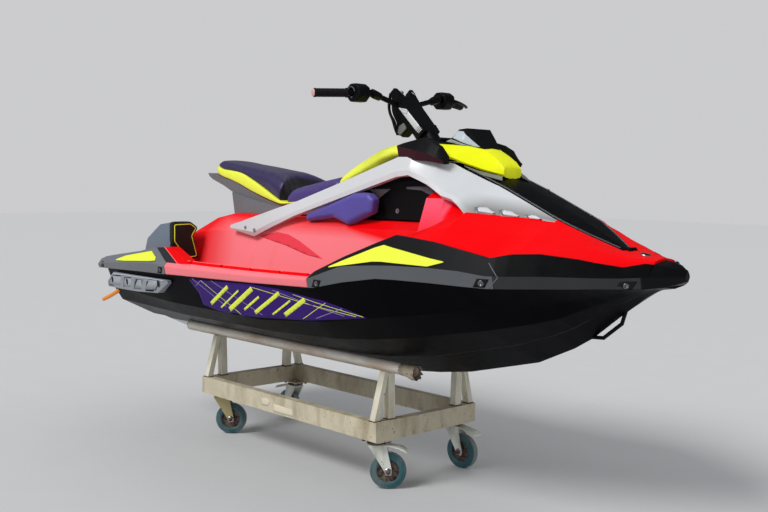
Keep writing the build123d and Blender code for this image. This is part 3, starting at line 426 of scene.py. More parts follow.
def smooth_group():
    # A node group that shades a mesh smooth
    group = bpy.data.node_groups.new("smooth", "GeometryNodeTree")
    group.interface.new_socket("Geometry", in_out="INPUT", socket_type="NodeSocketGeometry")
    group.interface.new_socket("Geometry", in_out="OUTPUT", socket_type="NodeSocketGeometry")
    start = group.nodes.new("NodeGroupInput")
    end = group.nodes.new("NodeGroupOutput")
    flag = group.nodes.new("GeometryNodeSetShadeSmooth")
    group.links.new(start.outputs[0], flag.inputs[0])
    group.links.new(flag.outputs[0], end.inputs[0])
    return group


smooth = smooth_group()


def round_edges(thing, width, angle):
    # A bevel on the edges that are sharper than an angle
    bevel = thing.modifiers.new("bevel", "BEVEL")
    bevel.width = width
    bevel.segments = 2
    bevel.limit_method = "ANGLE"
    bevel.angle_limit = math.radians(angle)


def weigh_normals(thing, weight):
    thing.modifiers.new("weigh", "WEIGHTED_NORMAL").weight = weight


def subdivide(thing):
    sub = thing.modifiers.new("subdivision", "SUBSURF")
    sub.levels = sub.render_levels = 1


def polish(name, width, angle):
    # Rounds a CAD node's edges and smooths its shading by modifiers only
    thing = nodes[name]
    thing.modifiers.new("weld", "WELD").merge_threshold = 0.00002
    if width:
        round_edges(thing, width, angle)
    thing.modifiers.new("smooth", "NODES").node_group = smooth
    weigh_normals(thing, 80)


def soften(thing, width):
    # Rounds a made piece's edges
    round_edges(thing, width, 25.0)
    weigh_normals(thing, 60)


# Mesh making
def spot(x, y, z):
    # A point in metres from millimetres
    return Vector((x, y, z)) * MM


def placed(name, data, body):
    # Puts a mesh or curve in the scene on a body
    thing = bpy.data.objects.new(name, data)
    scene.collection.objects.link(thing)
    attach(thing, body)
    return thing


def made(name, points, faces, key, body=CRAFT, slot=None, smooth_on=True, soft=False):
    # A mesh piece in one paint, or in several for its faces to choose from; a soft one is subdivided
    mesh = bpy.data.meshes.new(name)
    mesh.from_pydata([tuple(p) for p in points], [], faces)
    mesh.validate()
    for one in [key] if isinstance(key, str) else key:
        mesh.materials.append(paints[one])
    work = bmesh.new()
    work.from_mesh(mesh)
    bmesh.ops.recalc_face_normals(work, faces=work.faces)
    work.to_mesh(mesh)
    work.free()
    mesh.polygons.foreach_set("use_smooth", [smooth_on] * len(mesh.polygons))
    thing = placed(name, mesh, body)
    if soft:
        subdivide(thing)
    return thing


def quads(rows, count):
    # The faces between closed rows of points with the same count
    faces = []
    for i in range(rows - 1):
        for j in range(count):
            k = (j + 1) % count
            faces.append((i * count + j, i * count + k, (i + 1) * count + k, (i + 1) * count + j))
    return faces


def rings(name, loops, key, caps=True, **rest):
    # A skin through closed loops of points with the same count
    count = len(loops[0])
    faces = quads(len(loops), count)
    if caps:
        faces.append(tuple(range(count)))
        faces.append(tuple(range((len(loops) - 1) * count, len(loops) * count)))
    return made(name, [p for loop in loops for p in loop], faces, key, **rest)


def rope(name, points, radius, key, body=CRAFT, slot=None, cyclic=False, straight=False):
    # A round bar or seam along a smooth line of points
    curve = bpy.data.curves.new(name, "CURVE")
    curve.dimensions = "3D"
    curve.bevel_depth = radius
    curve.bevel_resolution = 4
    curve.use_fill_caps = True
    spline = curve.splines.new("POLY" if straight else "NURBS")
    spline.points.add(len(points) - 1)
    for point, place in zip(spline.points, points):
        point.co = (*place, 1.0)
    if not straight:
        spline.order_u = 3
        spline.use_endpoint_u = not cyclic
    spline.use_cyclic_u = cyclic
    curve.materials.append(paints[key])
    return placed(name, curve, body)


def turned(name, place, axis, profile, key, body=CRAFT, slot=None, steps=28, caps=True):
    # A turned piece from radius and height pairs along an axis
    axis = Vector(axis).normalized()
    side = axis.orthogonal().normalized()
    other = axis.cross(side)
    loops = []
    for radius, height in profile:
        loop = []
        for step in range(steps):
            turn = 2 * math.pi * step / steps
            out = side * math.cos(turn) + other * math.sin(turn)
            loop.append(Vector(place) + axis * height + out * max(radius, 1e-5))
        loops.append(loop)
    return rings(name, loops, key, body=body, slot=slot, caps=caps)


def value(table, x, column):
    # A column of a table at x, on straight lines between its rows
    rows = sorted(table)
    if x <= rows[0][0]:
        return float(rows[0][column])
    for low, high in zip(rows, rows[1:]):
        if low[0] <= x <= high[0]:
            part = (x - low[0]) / (high[0] - low[0])
            return low[column] + part * (high[column] - low[column])
    return float(rows[-1][column])


def flowing(table, x, column):
    # As value, with a smooth line through the rows
    rows = sorted(table)
    if x <= rows[0][0] or x >= rows[-1][0]:
        return value(table, x, column)
    at = max(i for i, row in enumerate(rows[:-1]) if row[0] <= x)
    a, b = rows[at], rows[at + 1]
    before = rows[at - 1] if at else a
    after = rows[at + 2] if at + 2 < len(rows) else b
    width = b[0] - a[0]
    part = (x - a[0]) / width

    def slope(low, high):
        return (high[column] - low[column]) / max(high[0] - low[0], 1e-6) * width

    m0, m1 = slope(before, b), slope(a, after)
    p2, p3 = part * part, part ** 3
    first = (2 * p3 - 3 * p2 + 1) * a[column] + (p3 - 2 * p2 + part) * m0
    return first + (-2 * p3 + 3 * p2) * b[column] + (p3 - p2) * m1


def surface_tree(names):
    # The shown surfaces of some CAD nodes, to lay films on
    points, faces = [], []
    depsgraph = bpy.context.evaluated_depsgraph_get()
    for name in names:
        shown = nodes[name].evaluated_get(depsgraph)
        mesh = shown.to_mesh()
        start = len(points)
        points += [v.co.copy() for v in mesh.vertices]
        faces += [tuple(start + i for i in p.vertices) for p in mesh.polygons]
        shown.to_mesh_clear()
    return BVHTree.FromPolygons(points, faces)


def film(name, outline, tree, key, side=-1, lift=0.7, step=14.0, slot=None, thick=0.4, body=CRAFT):
    # A thin film in X and Z laid on a side of the craft, cut every step to follow the surface
    work = bmesh.new()
    work.faces.new([work.verts.new((x * MM, 0, z * MM)) for x, z in outline])
    for column, axis in enumerate(((1, 0, 0), (0, 0, 1))):
        at = min(p[column] for p in outline) + step
        high = max(p[column] for p in outline)
        while at < high:
            bmesh.ops.bisect_plane(
                work, geom=list(work.verts) + list(work.edges) + list(work.faces),
                dist=1e-6, plane_co=Vector(axis) * at * MM, plane_no=axis,
            )
            at += step
    hits = []
    for vert in work.verts:
        hit = tree.ray_cast(Vector((vert.co.x, side * BESIDE * MM, vert.co.z)), Vector((0, -side, 0)))[0]
        hits.append(hit if hit is not None and hit.y * side > 0 else None)
    found = [abs(hit.y) for hit in hits if hit is not None] or [0.3]
    for vert, hit in zip(list(work.verts), hits):
        if hit is None:
            hit = tree.find_nearest(Vector((vert.co.x, side * sum(found) / len(found), vert.co.z)))[0]
        vert.co = hit + Vector((0, side, 0)) * lift * MM
    bmesh.ops.recalc_face_normals(work, faces=work.faces)
    mesh = bpy.data.meshes.new(name)
    work.to_mesh(mesh)
    work.free()
    mesh.materials.append(paints[key])
    mesh.polygons.foreach_set("use_smooth", [True] * len(mesh.polygons))
    thing = placed(name, mesh, body)
    solid = thing.modifiers.new("thickness", "SOLIDIFY")
    solid.thickness = thick * MM
    solid.offset = 0
    return thing


def line_outline(a, b, width):
    # The outline of a thin line between two X and Z points
    dx, dz = b[0] - a[0], b[1] - a[1]
    long = math.hypot(dx, dz)
    ox, oz = -dz / long * width / 2, dx / long * width / 2
    return [(a[0] + ox, a[1] + oz), (b[0] + ox, b[1] + oz), (b[0] - ox, b[1] - oz), (a[0] - ox, a[1] - oz)]


# Soft pieces: rows of X and the section's Y and Z in millimetres, of the seat and of the strip ahead of it
seat_lines = [
    (-1084, 40, 1294, 48, 1318, 34, 1328, 1331),
    (-1066, 78, 1285, 84, 1317, 60, 1335, 1339),
    (-1040, 100, 1281, 102, 1317, 78, 1338, 1344),
    (-980, 118, 1267, 116, 1303, 92, 1333, 1340),
    (-900, 128, 1252, 124, 1296, 98, 1322, 1329),
    (-800, 138, 1229, 132, 1284, 106, 1310, 1318),
    (-690, 148, 1198, 142, 1250, 114, 1296, 1304),
    (-570, 156, 1168, 154, 1206, 122, 1278, 1286),
    (-440, 166, 1141, 168, 1158, 132, 1236, 1262),
    (-395, 168, 1138, 171, 1153, 133, 1206, 1217),
    (-300, 168, 1146, 171, 1160, 136, 1221, 1228),
    (-180, 162, 1176, 166, 1192, 136, 1243, 1250),
    (-44, 148, 1216, 154, 1232, 131, 1268, 1275),
]
strip_lines = [
    (-42, 1216, 142, 1224, 152, 1240, 122, 1270, 1277),
    (30, 1238, 146, 1252, 156, 1270, 122, 1308, 1316),
    (110, 1270, 148, 1284, 158, 1304, 121, 1345, 1353),
    (180, 1300, 148, 1312, 158, 1334, 120, 1376, 1384),
    (232, 1325, 148, 1336, 158, 1355, 119, 1391, 1398),
    (290, 1346, 145, 1353, 152, 1370, 116, 1400, 1406),
    (328, 1347, 142, 1356, 148, 1370, 108, 1398, 1404),
]


def stations(start, stop, step):
    # Places along X from start to stop
    places = []
    while start <= stop:
        places.append(start)
        start += step
    return places


def tree_of(mesh):
    # A mesh's faces, to find places on
    return BVHTree.FromPolygons(
        [v.co.copy() for v in mesh.vertices], [tuple(p.vertices) for p in mesh.polygons],
    )


def mirrored(half):
    # A closed loop in Y and Z from one side's points, bottom centre to top centre
    return [(-y, z) for y, z in half] + [(y, z) for y, z in reversed(half[1:-1])]


PUFF_FRAMES = 16


def puff(thing, cap, voxel=0.005):
    # Swells a padded piece by a cloth simulation, no point by more than cap, and keeps the result
    tree = tree_of(thing.data)
    marks = [p.material_index for p in thing.data.polygons]
    thing.modifiers.clear()
    fine = thing.modifiers.new("fine", "REMESH")
    fine.mode = "VOXEL"
    fine.voxel_size = voxel
    keep_shape(thing, fine)
    before = [v.co.copy() for v in thing.data.vertices]
    cloth = thing.modifiers.new("cloth", "CLOTH")
    cloth.settings.use_pressure = True
    cloth.settings.uniform_pressure_force = 4.0
    cloth.settings.effector_weights.gravity = 0.0
    cloth.settings.quality = 4
    cloth.point_cache.frame_start = 1
    cloth.point_cache.frame_end = PUFF_FRAMES
    for number in range(1, PUFF_FRAMES + 1):
        scene.frame_set(number)
    keep_shape(thing, cloth)
    for vert, start in zip(thing.data.vertices, before):
        step = vert.co - start
        if step.length > cap:
            vert.co = start + step * (cap / step.length)
    calm = thing.modifiers.new("calm", "SMOOTH")
    calm.factor = 0.5
    calm.iterations = 8
    keep_shape(thing, calm)
    for face in thing.data.polygons:
        face.material_index = marks[tree.find_nearest(face.center)[2]]
        face.use_smooth = True
    scene.frame_set(1)
    subdivide(thing)


def keep_shape(thing, modifier):
    # Makes what a modifier shows the piece's own mesh, and removes the modifier
    shown = thing.evaluated_get(bpy.context.evaluated_depsgraph_get())
    mesh = bpy.data.meshes.new_from_object(shown)
    thing.modifiers.remove(modifier)
    thing.data = mesh


def laid(points, thing, lift):
    # Points moved onto a piece's own surface, standing proud by lift
    bpy.context.view_layer.update()
    shown = thing.evaluated_get(bpy.context.evaluated_depsgraph_get())
    tree = tree_of(shown.to_mesh())
    shown.to_mesh_clear()
    return [place + normal * lift for place, normal in (tree.find_nearest(point)[:2] for point in points)]


def seat_row(x):
    # The seat's section at x: Y and Z of its base, side and top edges, and its crown's Z
    return (flowing(seat_lines, x, column) for column in range(1, 8))


def make_seat():
    # The rear cushion, whose front end leans back and is scooped, with the seams on it
    loops = []
    for x in stations(-1084.0, -439.0, 12.9):
        _, _, ys, zs, yt, zt, top = seat_row(x)
        if x > -640:
            zt += (x + 640) / 200 * 6
        half = [
            (0, zs - 3), (ys - 16, zs - 3), (ys - 5, zs - 1), (ys, zs + 3),
            (ys - (ys - yt) * 0.22, zs + (zt - zs) * 0.55), (yt + 5, zt - 6), (yt - 2, zt + 0.5),
            (yt * 0.72, zt + (top - zt) * 0.55), (yt * 0.38, top - 1), (0, top),
        ]
        ramp = max(0.0, (x + 600) / 161)
        pull = 92.0 * ramp * ramp
        loop = []
        for y, z in mirrored(half):
            back = pull * max(0.0, 1 - (y / 134) ** 2) * max(0.0, min(1.0, (z - zs) / max(top - zs, 1)))
            loop.append(spot(x - back, y, z))
        loops.append(loop)
    last = loops[-1]
    for share in (0.35, 0.7, 0.96):
        loop = []
        for p in last:
            low = Vector((-0.432, p.y * 0.985, 1.150))
            loop.append(p.lerp(low, share) + Vector((-0.012 * math.sin(share * math.pi), 0, 0)))
        loops.append(loop)
    seat = rings("seat_rear_cushion", loops, ["purple_seat", "seat_black"], soft=True, slot="purple_vinyl")
    scoop = (len(loops) - 4) * len(loops[0])
    for face in seat.data.polygons:
        if min(face.vertices) >= scoop:
            face.material_index = 1
    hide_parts("seat_cushion")
    puff(seat, 0.007)
    for side, end in SIDES:
        for name, column, out, up, start, stop, radius, key in (
            ("seat_seam_", 3, 1.0, 1.5, -1078, -340, 0.0016, "seat_black"),
            ("seat_top_seam_", 5, 0.5, 1.6, -1070, -600, 0.0011, "purple_dark"),
        ):
            line = []
            for x in range(start, stop, 24):
                y, z = value(seat_lines, x, column), value(seat_lines, x, column + 1)
                line.append(spot(x, side * (y + out), z + up))
            rope(name + end, laid(line, seat, 0.0004), radius, key, slot="purple_vinyl")


def make_bolster():
    # The bolster between the rear cushion and the tank cover, on slanting sections
    loops = []
    for step in range(31):
        t = step / 30
        x_low, x_top = -372 + t * 332, -436 + t * 391
        edge = min(1.0, min(t, 1 - t) / 0.05 + 0.55)
        _, zb, ys, zs, yt, zt, top = seat_row(x_top * 0.5 + x_low * 0.5)
        if x_top < -395:
            zt, top = zt - (-395 - x_top) * 0.55, 1206 + (x_top + 436) * 0.2
        half = [
            (0, zb - 2), (ys - 14, zb), (ys - 3, zb + 2), (ys, zs),
            (ys - (ys - yt) * 0.3, zs + (zt - zs) * 0.5 + 2), (yt + 6, zt - 9), (yt - 3, zt - 1),
            (yt * 0.7, zt + (top - zt) * 0.5), (yt * 0.36, top - 1), (0, top),
        ]
        height = max(top - zb, 1.0)
        loop = []
        for y, z in mirrored(half):
            at = (z - zb) / height
            x = x_low + (x_top - x_low) * max(0.0, min(1.0, at))
            drop = (1 - edge) * height * 0.25 * at
            loop.append(spot(x, y * (0.94 + 0.06 * edge), z - drop))
        loops.append(loop)
    bolster = rings("seat_bolster", loops, "purple", soft=True, slot="purple_vinyl")
    puff(bolster, 0.005)


def make_side_panel():
    # The yellow skirt under the rear cushion
    loops = []
    for x in stations(-1084.0, -288.0, 13.2):
        yb, zb, ys, zs, *_ = seat_row(x)
        if x > -440:
            zb += (zs - zb) * 0.75 * ((x + 440) / 150)
        half = [
            (0, zb + 2), (yb - 22, zb + 2), (yb - 4, zb), (yb + 1, zb + 4),
            ((yb + ys) / 2 + 3, (zb + zs) / 2), (ys + 1, zs - 5), (ys - 3, zs + 1), (ys - 18, zs + 1),
            (0, zs + 1),
        ]
        loops.append([spot(x, y, z) for y, z in mirrored(half)])
    skirt = rings("seat_side_panel", loops, "neon_soft", soft=True, slot="yellow_soft")
    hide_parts("seat_skirt")


def make_tank_cover():
    # The yellow cover ahead of the seat, with a stitch line along each side
    loops = []
    for x in stations(-42.0, 328.5, 15.4):
        low, y1, z1, y2, z2, y3, z3, top = (flowing(strip_lines, x, c) for c in range(1, 9))
        half = [
            (0, low), (y1 - 18, low + 2), (y1 - 2, z1 + 1), (y2 - 1, z2 - 5), (y2 - 2, z2 + 4),
            ((y2 + y3) / 2 + 2, (z2 + z3) / 2 + 3), (y3 + 3, z3 - 1), (y3 - 14, z3 + 3),
            (y3 * 0.5, top - 1), (0, top),
        ]
        loops.append([spot(x, y, z) for y, z in mirrored(half)])
    cover = rings("tank_cover_pad", loops, "neon_soft", soft=True, slot="yellow_soft")
    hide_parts("tank_cover")
    puff(cover, 0.004)
    for side, end in SIDES:
        line = []
        for x in range(-36, 322, 17):
            y3, z3 = flowing(strip_lines, x, 6), flowing(strip_lines, x, 7)
            line.append(spot(x, side * (y3 - 8), z3 + 3.2))
        rope("tank_cover_stitch_" + end, laid(line, cover, 0.0003), 0.0009, "neon", slot="yellow_soft")


def inset(points, gap):
    # Moves a closed outline inwards, if there is a gap
    if not gap:
        return points
    count = len(points)
    area = sum(a[0] * b[1] - b[0] * a[1] for a, b in zip(points, points[1:] + points[:1]))
    turn = 1 if area > 0 else -1
    moved = []
    for i in range(count):
        a, b, c = (Vector(points[(i + k) % count]) for k in (-1, 0, 1))
        first, second = (b - a).normalized(), (c - b).normalized()
        n1, n2 = Vector((-first.y, first.x)) * turn, Vector((-second.y, second.x)) * turn
        both = (n1 + n2).normalized()
        moved.append(tuple(b + both * gap / max(0.4, both.dot(n1))))
    return moved


def rounded(points, radius, steps=3):
    # Rounds the corners of a closed outline
    count, out = len(points), []
    for i in range(count):
        a, b, c = (Vector(points[(i + k) % count]) for k in (-1, 0, 1))
        cut = min(radius, (a - b).length * 0.45, (c - b).length * 0.45)
        start, end = b + (a - b).normalized() * cut, b + (c - b).normalized() * cut
        for step in range(steps + 1):
            t = step / steps
            out.append(tuple(start.lerp(b, t).lerp(b.lerp(end, t), t)))
    return out


def shrunk(points, share):
    # An outline drawn in towards its middle
    middle = sum((Vector(p) for p in points), Vector((0, 0))) / len(points)
    return [tuple(middle + (Vector(p) - middle) * share) for p in points]


def pad(name, outline, place, back, front, key, edge=14.0, crown=3.0, radius=12.0, swell=0.003, **rest):
    # A crowned pad on an outline; place turns an outline point and a depth into a 3-D point
    way = 1 if front > back else -1
    shape = rounded(outline, radius)
    bevel = rounded(inset(outline, 2.0), radius * 0.9)
    face = rounded(inset(outline, edge), max(3.0, radius - edge * 0.5))
    layers = [
        (shrunk(shape, 0.99), back), (shape, back + 3 * way), (shape, front - edge * 0.75 * way),
        (bevel, front - edge * 0.55 * way), (face, front), (shrunk(face, 0.95), front + crown * 0.3 * way),
        (shrunk(face, 0.70), front + crown * 0.8 * way), (shrunk(face, 0.35), front + crown * way),
    ]
    loops = [[Vector(place(u, v, depth)) * MM for u, v in points] for points, depth in layers]
    count = len(shape)
    lift = Vector(place(0, 0, crown * 0.2 * way)) - Vector(place(0, 0, 0))
    tip = sum(loops[-1], Vector()) / count + lift * MM
    points = [p for loop in loops for p in loop] + [tip]
    last = (len(loops) - 1) * count
    faces = [tuple(range(count))] + quads(len(loops), count)
    faces += [(last + j, last + (j + 1) % count, len(points) - 1) for j in range(count)]
    thing = made(name, points, faces, key, soft=True, **rest)
    puff(thing, swell, 0.004)
    return thing


def make_pads():
    # Knee pads on X and Z outlines, and heel pads on Y and Z outlines with their piping
    knee = [
        (-108, 1108), (205, 1207), (294, 1207), (324, 1182), (314, 1128), (171, 1071), (75, 1099),
        (-106, 1080),
    ]
    heel = [(-486, 1048), (-486, 950), (-412, 861), (-330, 870), (-363, 978), (-334, 1020), (-380, 1051)]
    for side, end in SIDES:
        knee_pad = pad(
            "knee_pad_" + end, knee, lambda u, v, d, s=side: (u, s * d, v), 238, 282, "purple_pad",
            edge=12.0, radius=8.0, swell=0.002, slot="purple_vinyl",
        )
        if side < 0:
            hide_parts("knee_pads")
        heel_pad = pad(
            "heel_pad_" + end, heel, lambda u, v, d, s=side: (d, -s * u, v), -879, -851, "foam",
            edge=7.0, crown=1.5, radius=14.0, swell=0.002, slot="rubber",
        )
        if side < 0:
            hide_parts("heel_pads")
        line = laid([spot(-850, -side * u, v) for u, v in rounded(inset(heel, 15.0), 6.0)], heel_pad, 0.0012)
        rope("heel_pad_piping_" + end, line, 0.0022, "neon", cyclic=True, straight=True, slot="yellow_soft")


# Hard pieces over the CAD
def screw(name, place, axis, r, key="steel", body=CRAFT, slot=None):
    # A round head with a recess
    profile = [
        (r, -0.001), (r, 0.0008), (r * 0.86, 0.0022), (r * 0.55, 0.0024), (r * 0.5, 0.0008), (0, 0.0008),
    ]
    turned(name, place, axis, profile, key, body=body, slot=slot, steps=24)


def on_side(tree, x, z, side=-1):
    # Point and outward normal where a sideways ray meets the craft
    hit, normal = tree.ray_cast(spot(x, side * BESIDE, z), Vector((0, -side, 0)))[:2]
    if normal.y * side < 0:
        normal = -normal
    return hit, normal


def under(tree, x, y, above=ABOVE):
    # Where a ray straight down from a height meets the craft, or None
    return tree.ray_cast(spot(x, y, above), Vector((0, 0, -1)))[0]


def make_screws():
    # Ring screws in recesses on the bumpers and fairings, and plain ones on the arches
    tree = surface_tree(["stern_bumpers", "side_fairings", "bow_bumper", "side_arches"])
    rows = [
        ("stern", -1500, 803, 9), ("stern_front", -842, 824, 9), ("fairing_rear", 310, 858, 10),
        ("fairing_front", 1036, 914, 11), ("bow", 1429, 923, 10),
    ]
    for side, end in SIDES:
        for label, x, z, radius in rows:
            hit, normal = on_side(tree, x, z, side)
            outline = [(x - 28, z - 15), (x - 12, z + 15), (x + 28, z + 15), (x + 12, z - 15)]
            film("recess_" + label + "_" + end, outline, tree, "rubber", side, lift=0.8)
            profile = [
                (radius * MM, 0), (radius * MM, 0.002), (radius * 0.0008, 0.003), (radius * 0.0006, 0.003),
                (radius * 0.00055, 0.001), (0.0, 0.001),
            ]
            place = hit + normal * 0.0008
            turned("ring_screw_" + label + "_" + end, place, normal, profile, "screw_steel", slot="steel")
        for x, z in ((-500, 1034), (-433, 1025)):
            hit, normal = on_side(tree, x, z, side)
            screw("arch_screw_" + str(abs(x)) + "_" + end, hit, normal, 0.009, "silver_dark", slot="silver")


def make_rail_ribs():
    # Cross ribs on the rails, each with a paler crest as a painted highlight
    tree = surface_tree(["gunwale_rails", "side_decks"])
    rows = [(-790, -605), (-593, -366), (-354, -145), (-133, 54), (66, 236)]
    section = ((0, -3), (0, 10), (6, 13), (17, 12), (20, -3))
    edge, height, above = 540, 868, 1200
    for side, end in SIDES:
        for number, (start, stop) in enumerate(rows):
            loops = []
            for step in range(9):
                x = start + (stop - start) * step / 8
                loop = []
                for y, lift in section:
                    hit = under(tree, x, side * (edge - y), above)
                    z = hit.z / MM if hit else height
                    draft = (4 if lift > 0 else 0) * (1 - 2 * step / 8)
                    loop.append(spot(x + draft, side * (edge - y), z + lift))
                loops.append(loop)
            rib = rings("rail_rib_%d_%s" % (number + 1, end), loops, "red", slot="red")
            soften(rib, 0.0012)
            # A coral line along the crest: a painted highlight
            crest = [loop[2] + Vector((0, 0, 0.0004)) for loop in loops]
            rope("rail_crest_%d_%s" % (number + 1, end), crest, 0.0012, "coral", slot="red", straight=True)


def make_flank_parts():
    # A painted shadow of the arch in darker red on the pedestal's flanks, and the slanted joints of the bow
    # bumper
    tree = surface_tree(["pedestal"])
    joints = surface_tree(["side_fairings", "bow_bumper"])
    cast_shadow = [(-445, 998), (-300, 1022), (-215, 1016), (-126, 992), (50, 926), (-60, 936), (-220, 968)]
    for side, end in SIDES:
        film("flank_shard_" + end, cast_shadow, tree, "cast_shadow", side, lift=0.5, step=12.0, slot="red")
        for number, (a, b) in enumerate((((1055, 984), (1092, 936)), ((1092, 936), (1062, 900)))):
            line = line_outline(a, b, 3.0)
            name = "bow_joint_%d_%s" % (number + 1, end)
            film(name, line, joints, "grey", side, lift=0.6, step=9.0, slot="grey")


def make_hull_film():
    # The purple field on the hull's side with its slanted strokes and thin lines
    tree = surface_tree(["hull"])
    zone = [
        (-604, 800), (-548, 742), (-537, 690), (-420, 672), (-284, 666), (196, 698), (523, 741), (430, 768),
        (316, 792), (60, 815), (-139, 818),
    ]
    bars = [
        ((-470, 700), (-300, 792), 16), ((-395, 690), (-225, 782), 8), ((-330, 688), (-120, 800), 20),
        ((-215, 700), (-85, 768), 10), ((-140, 694), (60, 798), 16), ((-20, 700), (120, 772), 8),
        ((60, 706), (215, 786), 18),
    ]
    lines = [
        ((-575, 806), (-350, 700)), ((-505, 802), (-250, 676)), ((-420, 808), (-90, 690)),
        ((-120, 806), (470, 742)), ((20, 806), (410, 738)), ((150, 800), (505, 744)),
        ((-560, 772), (-505, 802)), ((170, 702), (330, 782)), ((250, 712), (410, 768)),
    ]
    for side, end in SIDES:
        film("hull_zone_" + end, zone, tree, "violet_film", side, lift=0.5, slot="hull_black")
        for number, (a, b, width) in enumerate(bars):
            bar = line_outline(a, b, width)
            film("hull_bar_%d_%s" % (number + 1, end), bar, tree, "neon_film", side, lift=1.0, slot="yellow")
        for number, (a, b) in enumerate(lines):
            key = "neon_film" if number % 2 else "pale_film"
            line = line_outline(a, b, 2.2)
            film("hull_line_%d_%s" % (number + 1, end), line, tree, key, side, lift=0.8, slot="hull_black")


def on_arch(tree, outline, side, lift):
    # An outline on a side of the craft, standing proud by lift
    loop = []
    for x, z in outline:
        hit, normal = on_side(tree, x, z, side)
        loop.append(hit + normal * lift * MM)
    return loop


def make_arch_parts():
    # Three raised wedges on each arch, each with a painted shade along its rear edge
    tree = surface_tree(["side_arches"])
    wedges = [
        [(867, 1166), (896, 1165), (936, 1142), (882, 1151)],
        [(940, 1158), (973, 1153), (1008, 1134), (957, 1141)],
        [(1024, 1143), (1048, 1141), (1078, 1127), (1033, 1131)],
    ]
    for side, end in SIDES:
        for number, wedge in enumerate(wedges):
            shape = rounded(wedge, 5.0)
            loops = [
                on_arch(tree, inset(shape, gap), side, lift)
                for gap, lift in ((0, 0.2), (0.6, 3.4), (3.2, 4.6))
            ]
            rings("arch_gill_%d_%s" % (number + 1, end), loops, "plate_silver", slot="silver")
            # A painted shade along the wedge's rear edge
            (x1, z1), (x3, z3), (x4, z4) = wedge[0], wedge[2], wedge[3]
            dark = [(x1 - 8, z1 + 1), (x1 + 1, z1 + 1), (x4 + 1, z4 - 1), (x3, z3 - 3), (x4 - 6, z4 - 4)]
            name = "arch_gill_shade_%d_%s" % (number + 1, end)
            film(name, dark, tree, "silver_dark", side, lift=0.7, step=8.0, slot="silver")


# The steering post's foot in millimetres, and its rake
steer_foot = Vector((352, 0, 1455))
rake = math.radians(40)
steer_axis = Vector((-math.sin(rake), 0, math.cos(rake)))
steer_ahead = Vector((math.cos(rake), 0, math.sin(rake)))


def on_post(along, deep, y):
    # A place along the steering post, ahead of it and across
    return (steer_foot + steer_axis * along + steer_ahead * deep + Vector((0, y, 0))) * MM


def make_post_sides():
    # Silver plates on the steering post's sides, each with a thin dark line
    outline = [(167, -28), (131, 3), (1, 18), (6, -11)]
    for side, end in SIDES:
        loops = []
        for grow, lift in ((0, -1.0), (0, 1.6), (2.5, 3.2)):
            loop = []
            for along, deep in rounded(inset(outline, grow), 5.0):
                face = 45 + 5 * min(1.0, max(0.0, along) / 138) + 0.055 * max(0.0, along - 138)
                loop.append(on_post(along, deep, side * (face + lift)))
            loops.append(loop)
        rings("post_plate_" + end, loops, "plate_silver", body="steering", slot="silver")
        line = [on_post(a, d, side * 53.6) for a, d in ((150, -16), (118, 5), (112, -6), (140, -24))]
        rope(
            "post_plate_line_" + end, line, 0.0008, "silver_dark",
            body="steering", slot="silver", cyclic=True, straight=True,
        )


def make_grips():
    # Ribbed grips, the throttle lever, the switches and the collars on the handlebar
    for side, end in SIDES:
        a, b = Vector((178.9, side * 300, 1611)), Vector((129.3, side * 432, 1605))
        axis = (b - a).normalized()
        long = (b - a).length * MM
        profile = [(0.013, 0.0), (0.0195, 0.0), (0.0205, 0.003)]
        at = 0.008
        while at < long - 0.012:
            profile += [(0.0178, at), (0.0178, at + 0.0022), (0.0165, at + 0.0034), (0.0165, at + 0.005)]
            at += 0.0064
        profile += [
            (0.0183, long - 0.008), (0.0183, long + 0.001), (0.014, long + 0.003), (0.0, long + 0.003),
        ]
        grip = turned("grip_" + end, a * MM, axis, profile, "rubber", body="steering", slot="grip", steps=32)
        if side < 0:
            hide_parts("handlebar_grips")
        profile = [(0.0165, -0.001), (0.0165, 0.004), (0.013, 0.0065), (0.0, 0.0065)]
        key = "pink_end" if side < 0 else "rubber"
        turned("grip_end_" + end, b * MM, axis, profile, key, body="steering", slot="grip")
        if side > 0:
            line = [(222, 262, 1618), (240, 282, 1612), (228, 330, 1606), (205, 382, 1600), (190, 408, 1596)]
            rope("lever_" + end, [spot(*p) for p in line], 0.0065, "black", **STEER)
        profile = [(0.011, 0), (0.014, 0.003), (0.014, 0.040), (0.010, 0.044), (0.0, 0.044)]
        turned("lever_pivot_" + end, spot(226, side * 264, 1594), UP, profile, "black", **STEER)
        turns = [math.radians(-80 + 20 * step) for step in range(9)]
        arc = [spot(190 - 24 * math.sin(t), side * 289.5, 1612 + 24 * math.cos(t)) for t in turns]
        rope("pod_edge_" + end, arc, 0.0016, "grey", **STEER)
        for number, (x, z, radius) in enumerate(((168, 1626, 5.0), (172, 1606, 6.5), (190, 1594, 5.0))):
            key = ("neon", "grey", "coral")[number] if side > 0 else "grey"
            profile = [(radius, -2), (radius, 3.0), (radius - 1.5, 4.5), (0.0, 4.5)]
            profile = [(r * MM, h * MM) for r, h in profile]
            place = spot(x, side * 283, z)
            turned("switch_%d_%s" % (number + 1, end), place, (-0.2, side, 0), profile, key, **STEER)
        loops = []
        corners = [math.radians(30 + 60 * k) for k in range(6)]
        for y, radius in ((150, 15), (158, 19), (180, 20), (192, 20), (200, 15)):
            z = 1580 + (y - 60) * 37 / 145
            loops.append([
                spot(214.6 + radius * 1.2 * math.cos(t), side * y, z + radius * math.sin(t)) for t in corners
            ])
        soften(rings("bar_collar_" + end, loops, "black", smooth_on=False, **STEER), 0.0015)


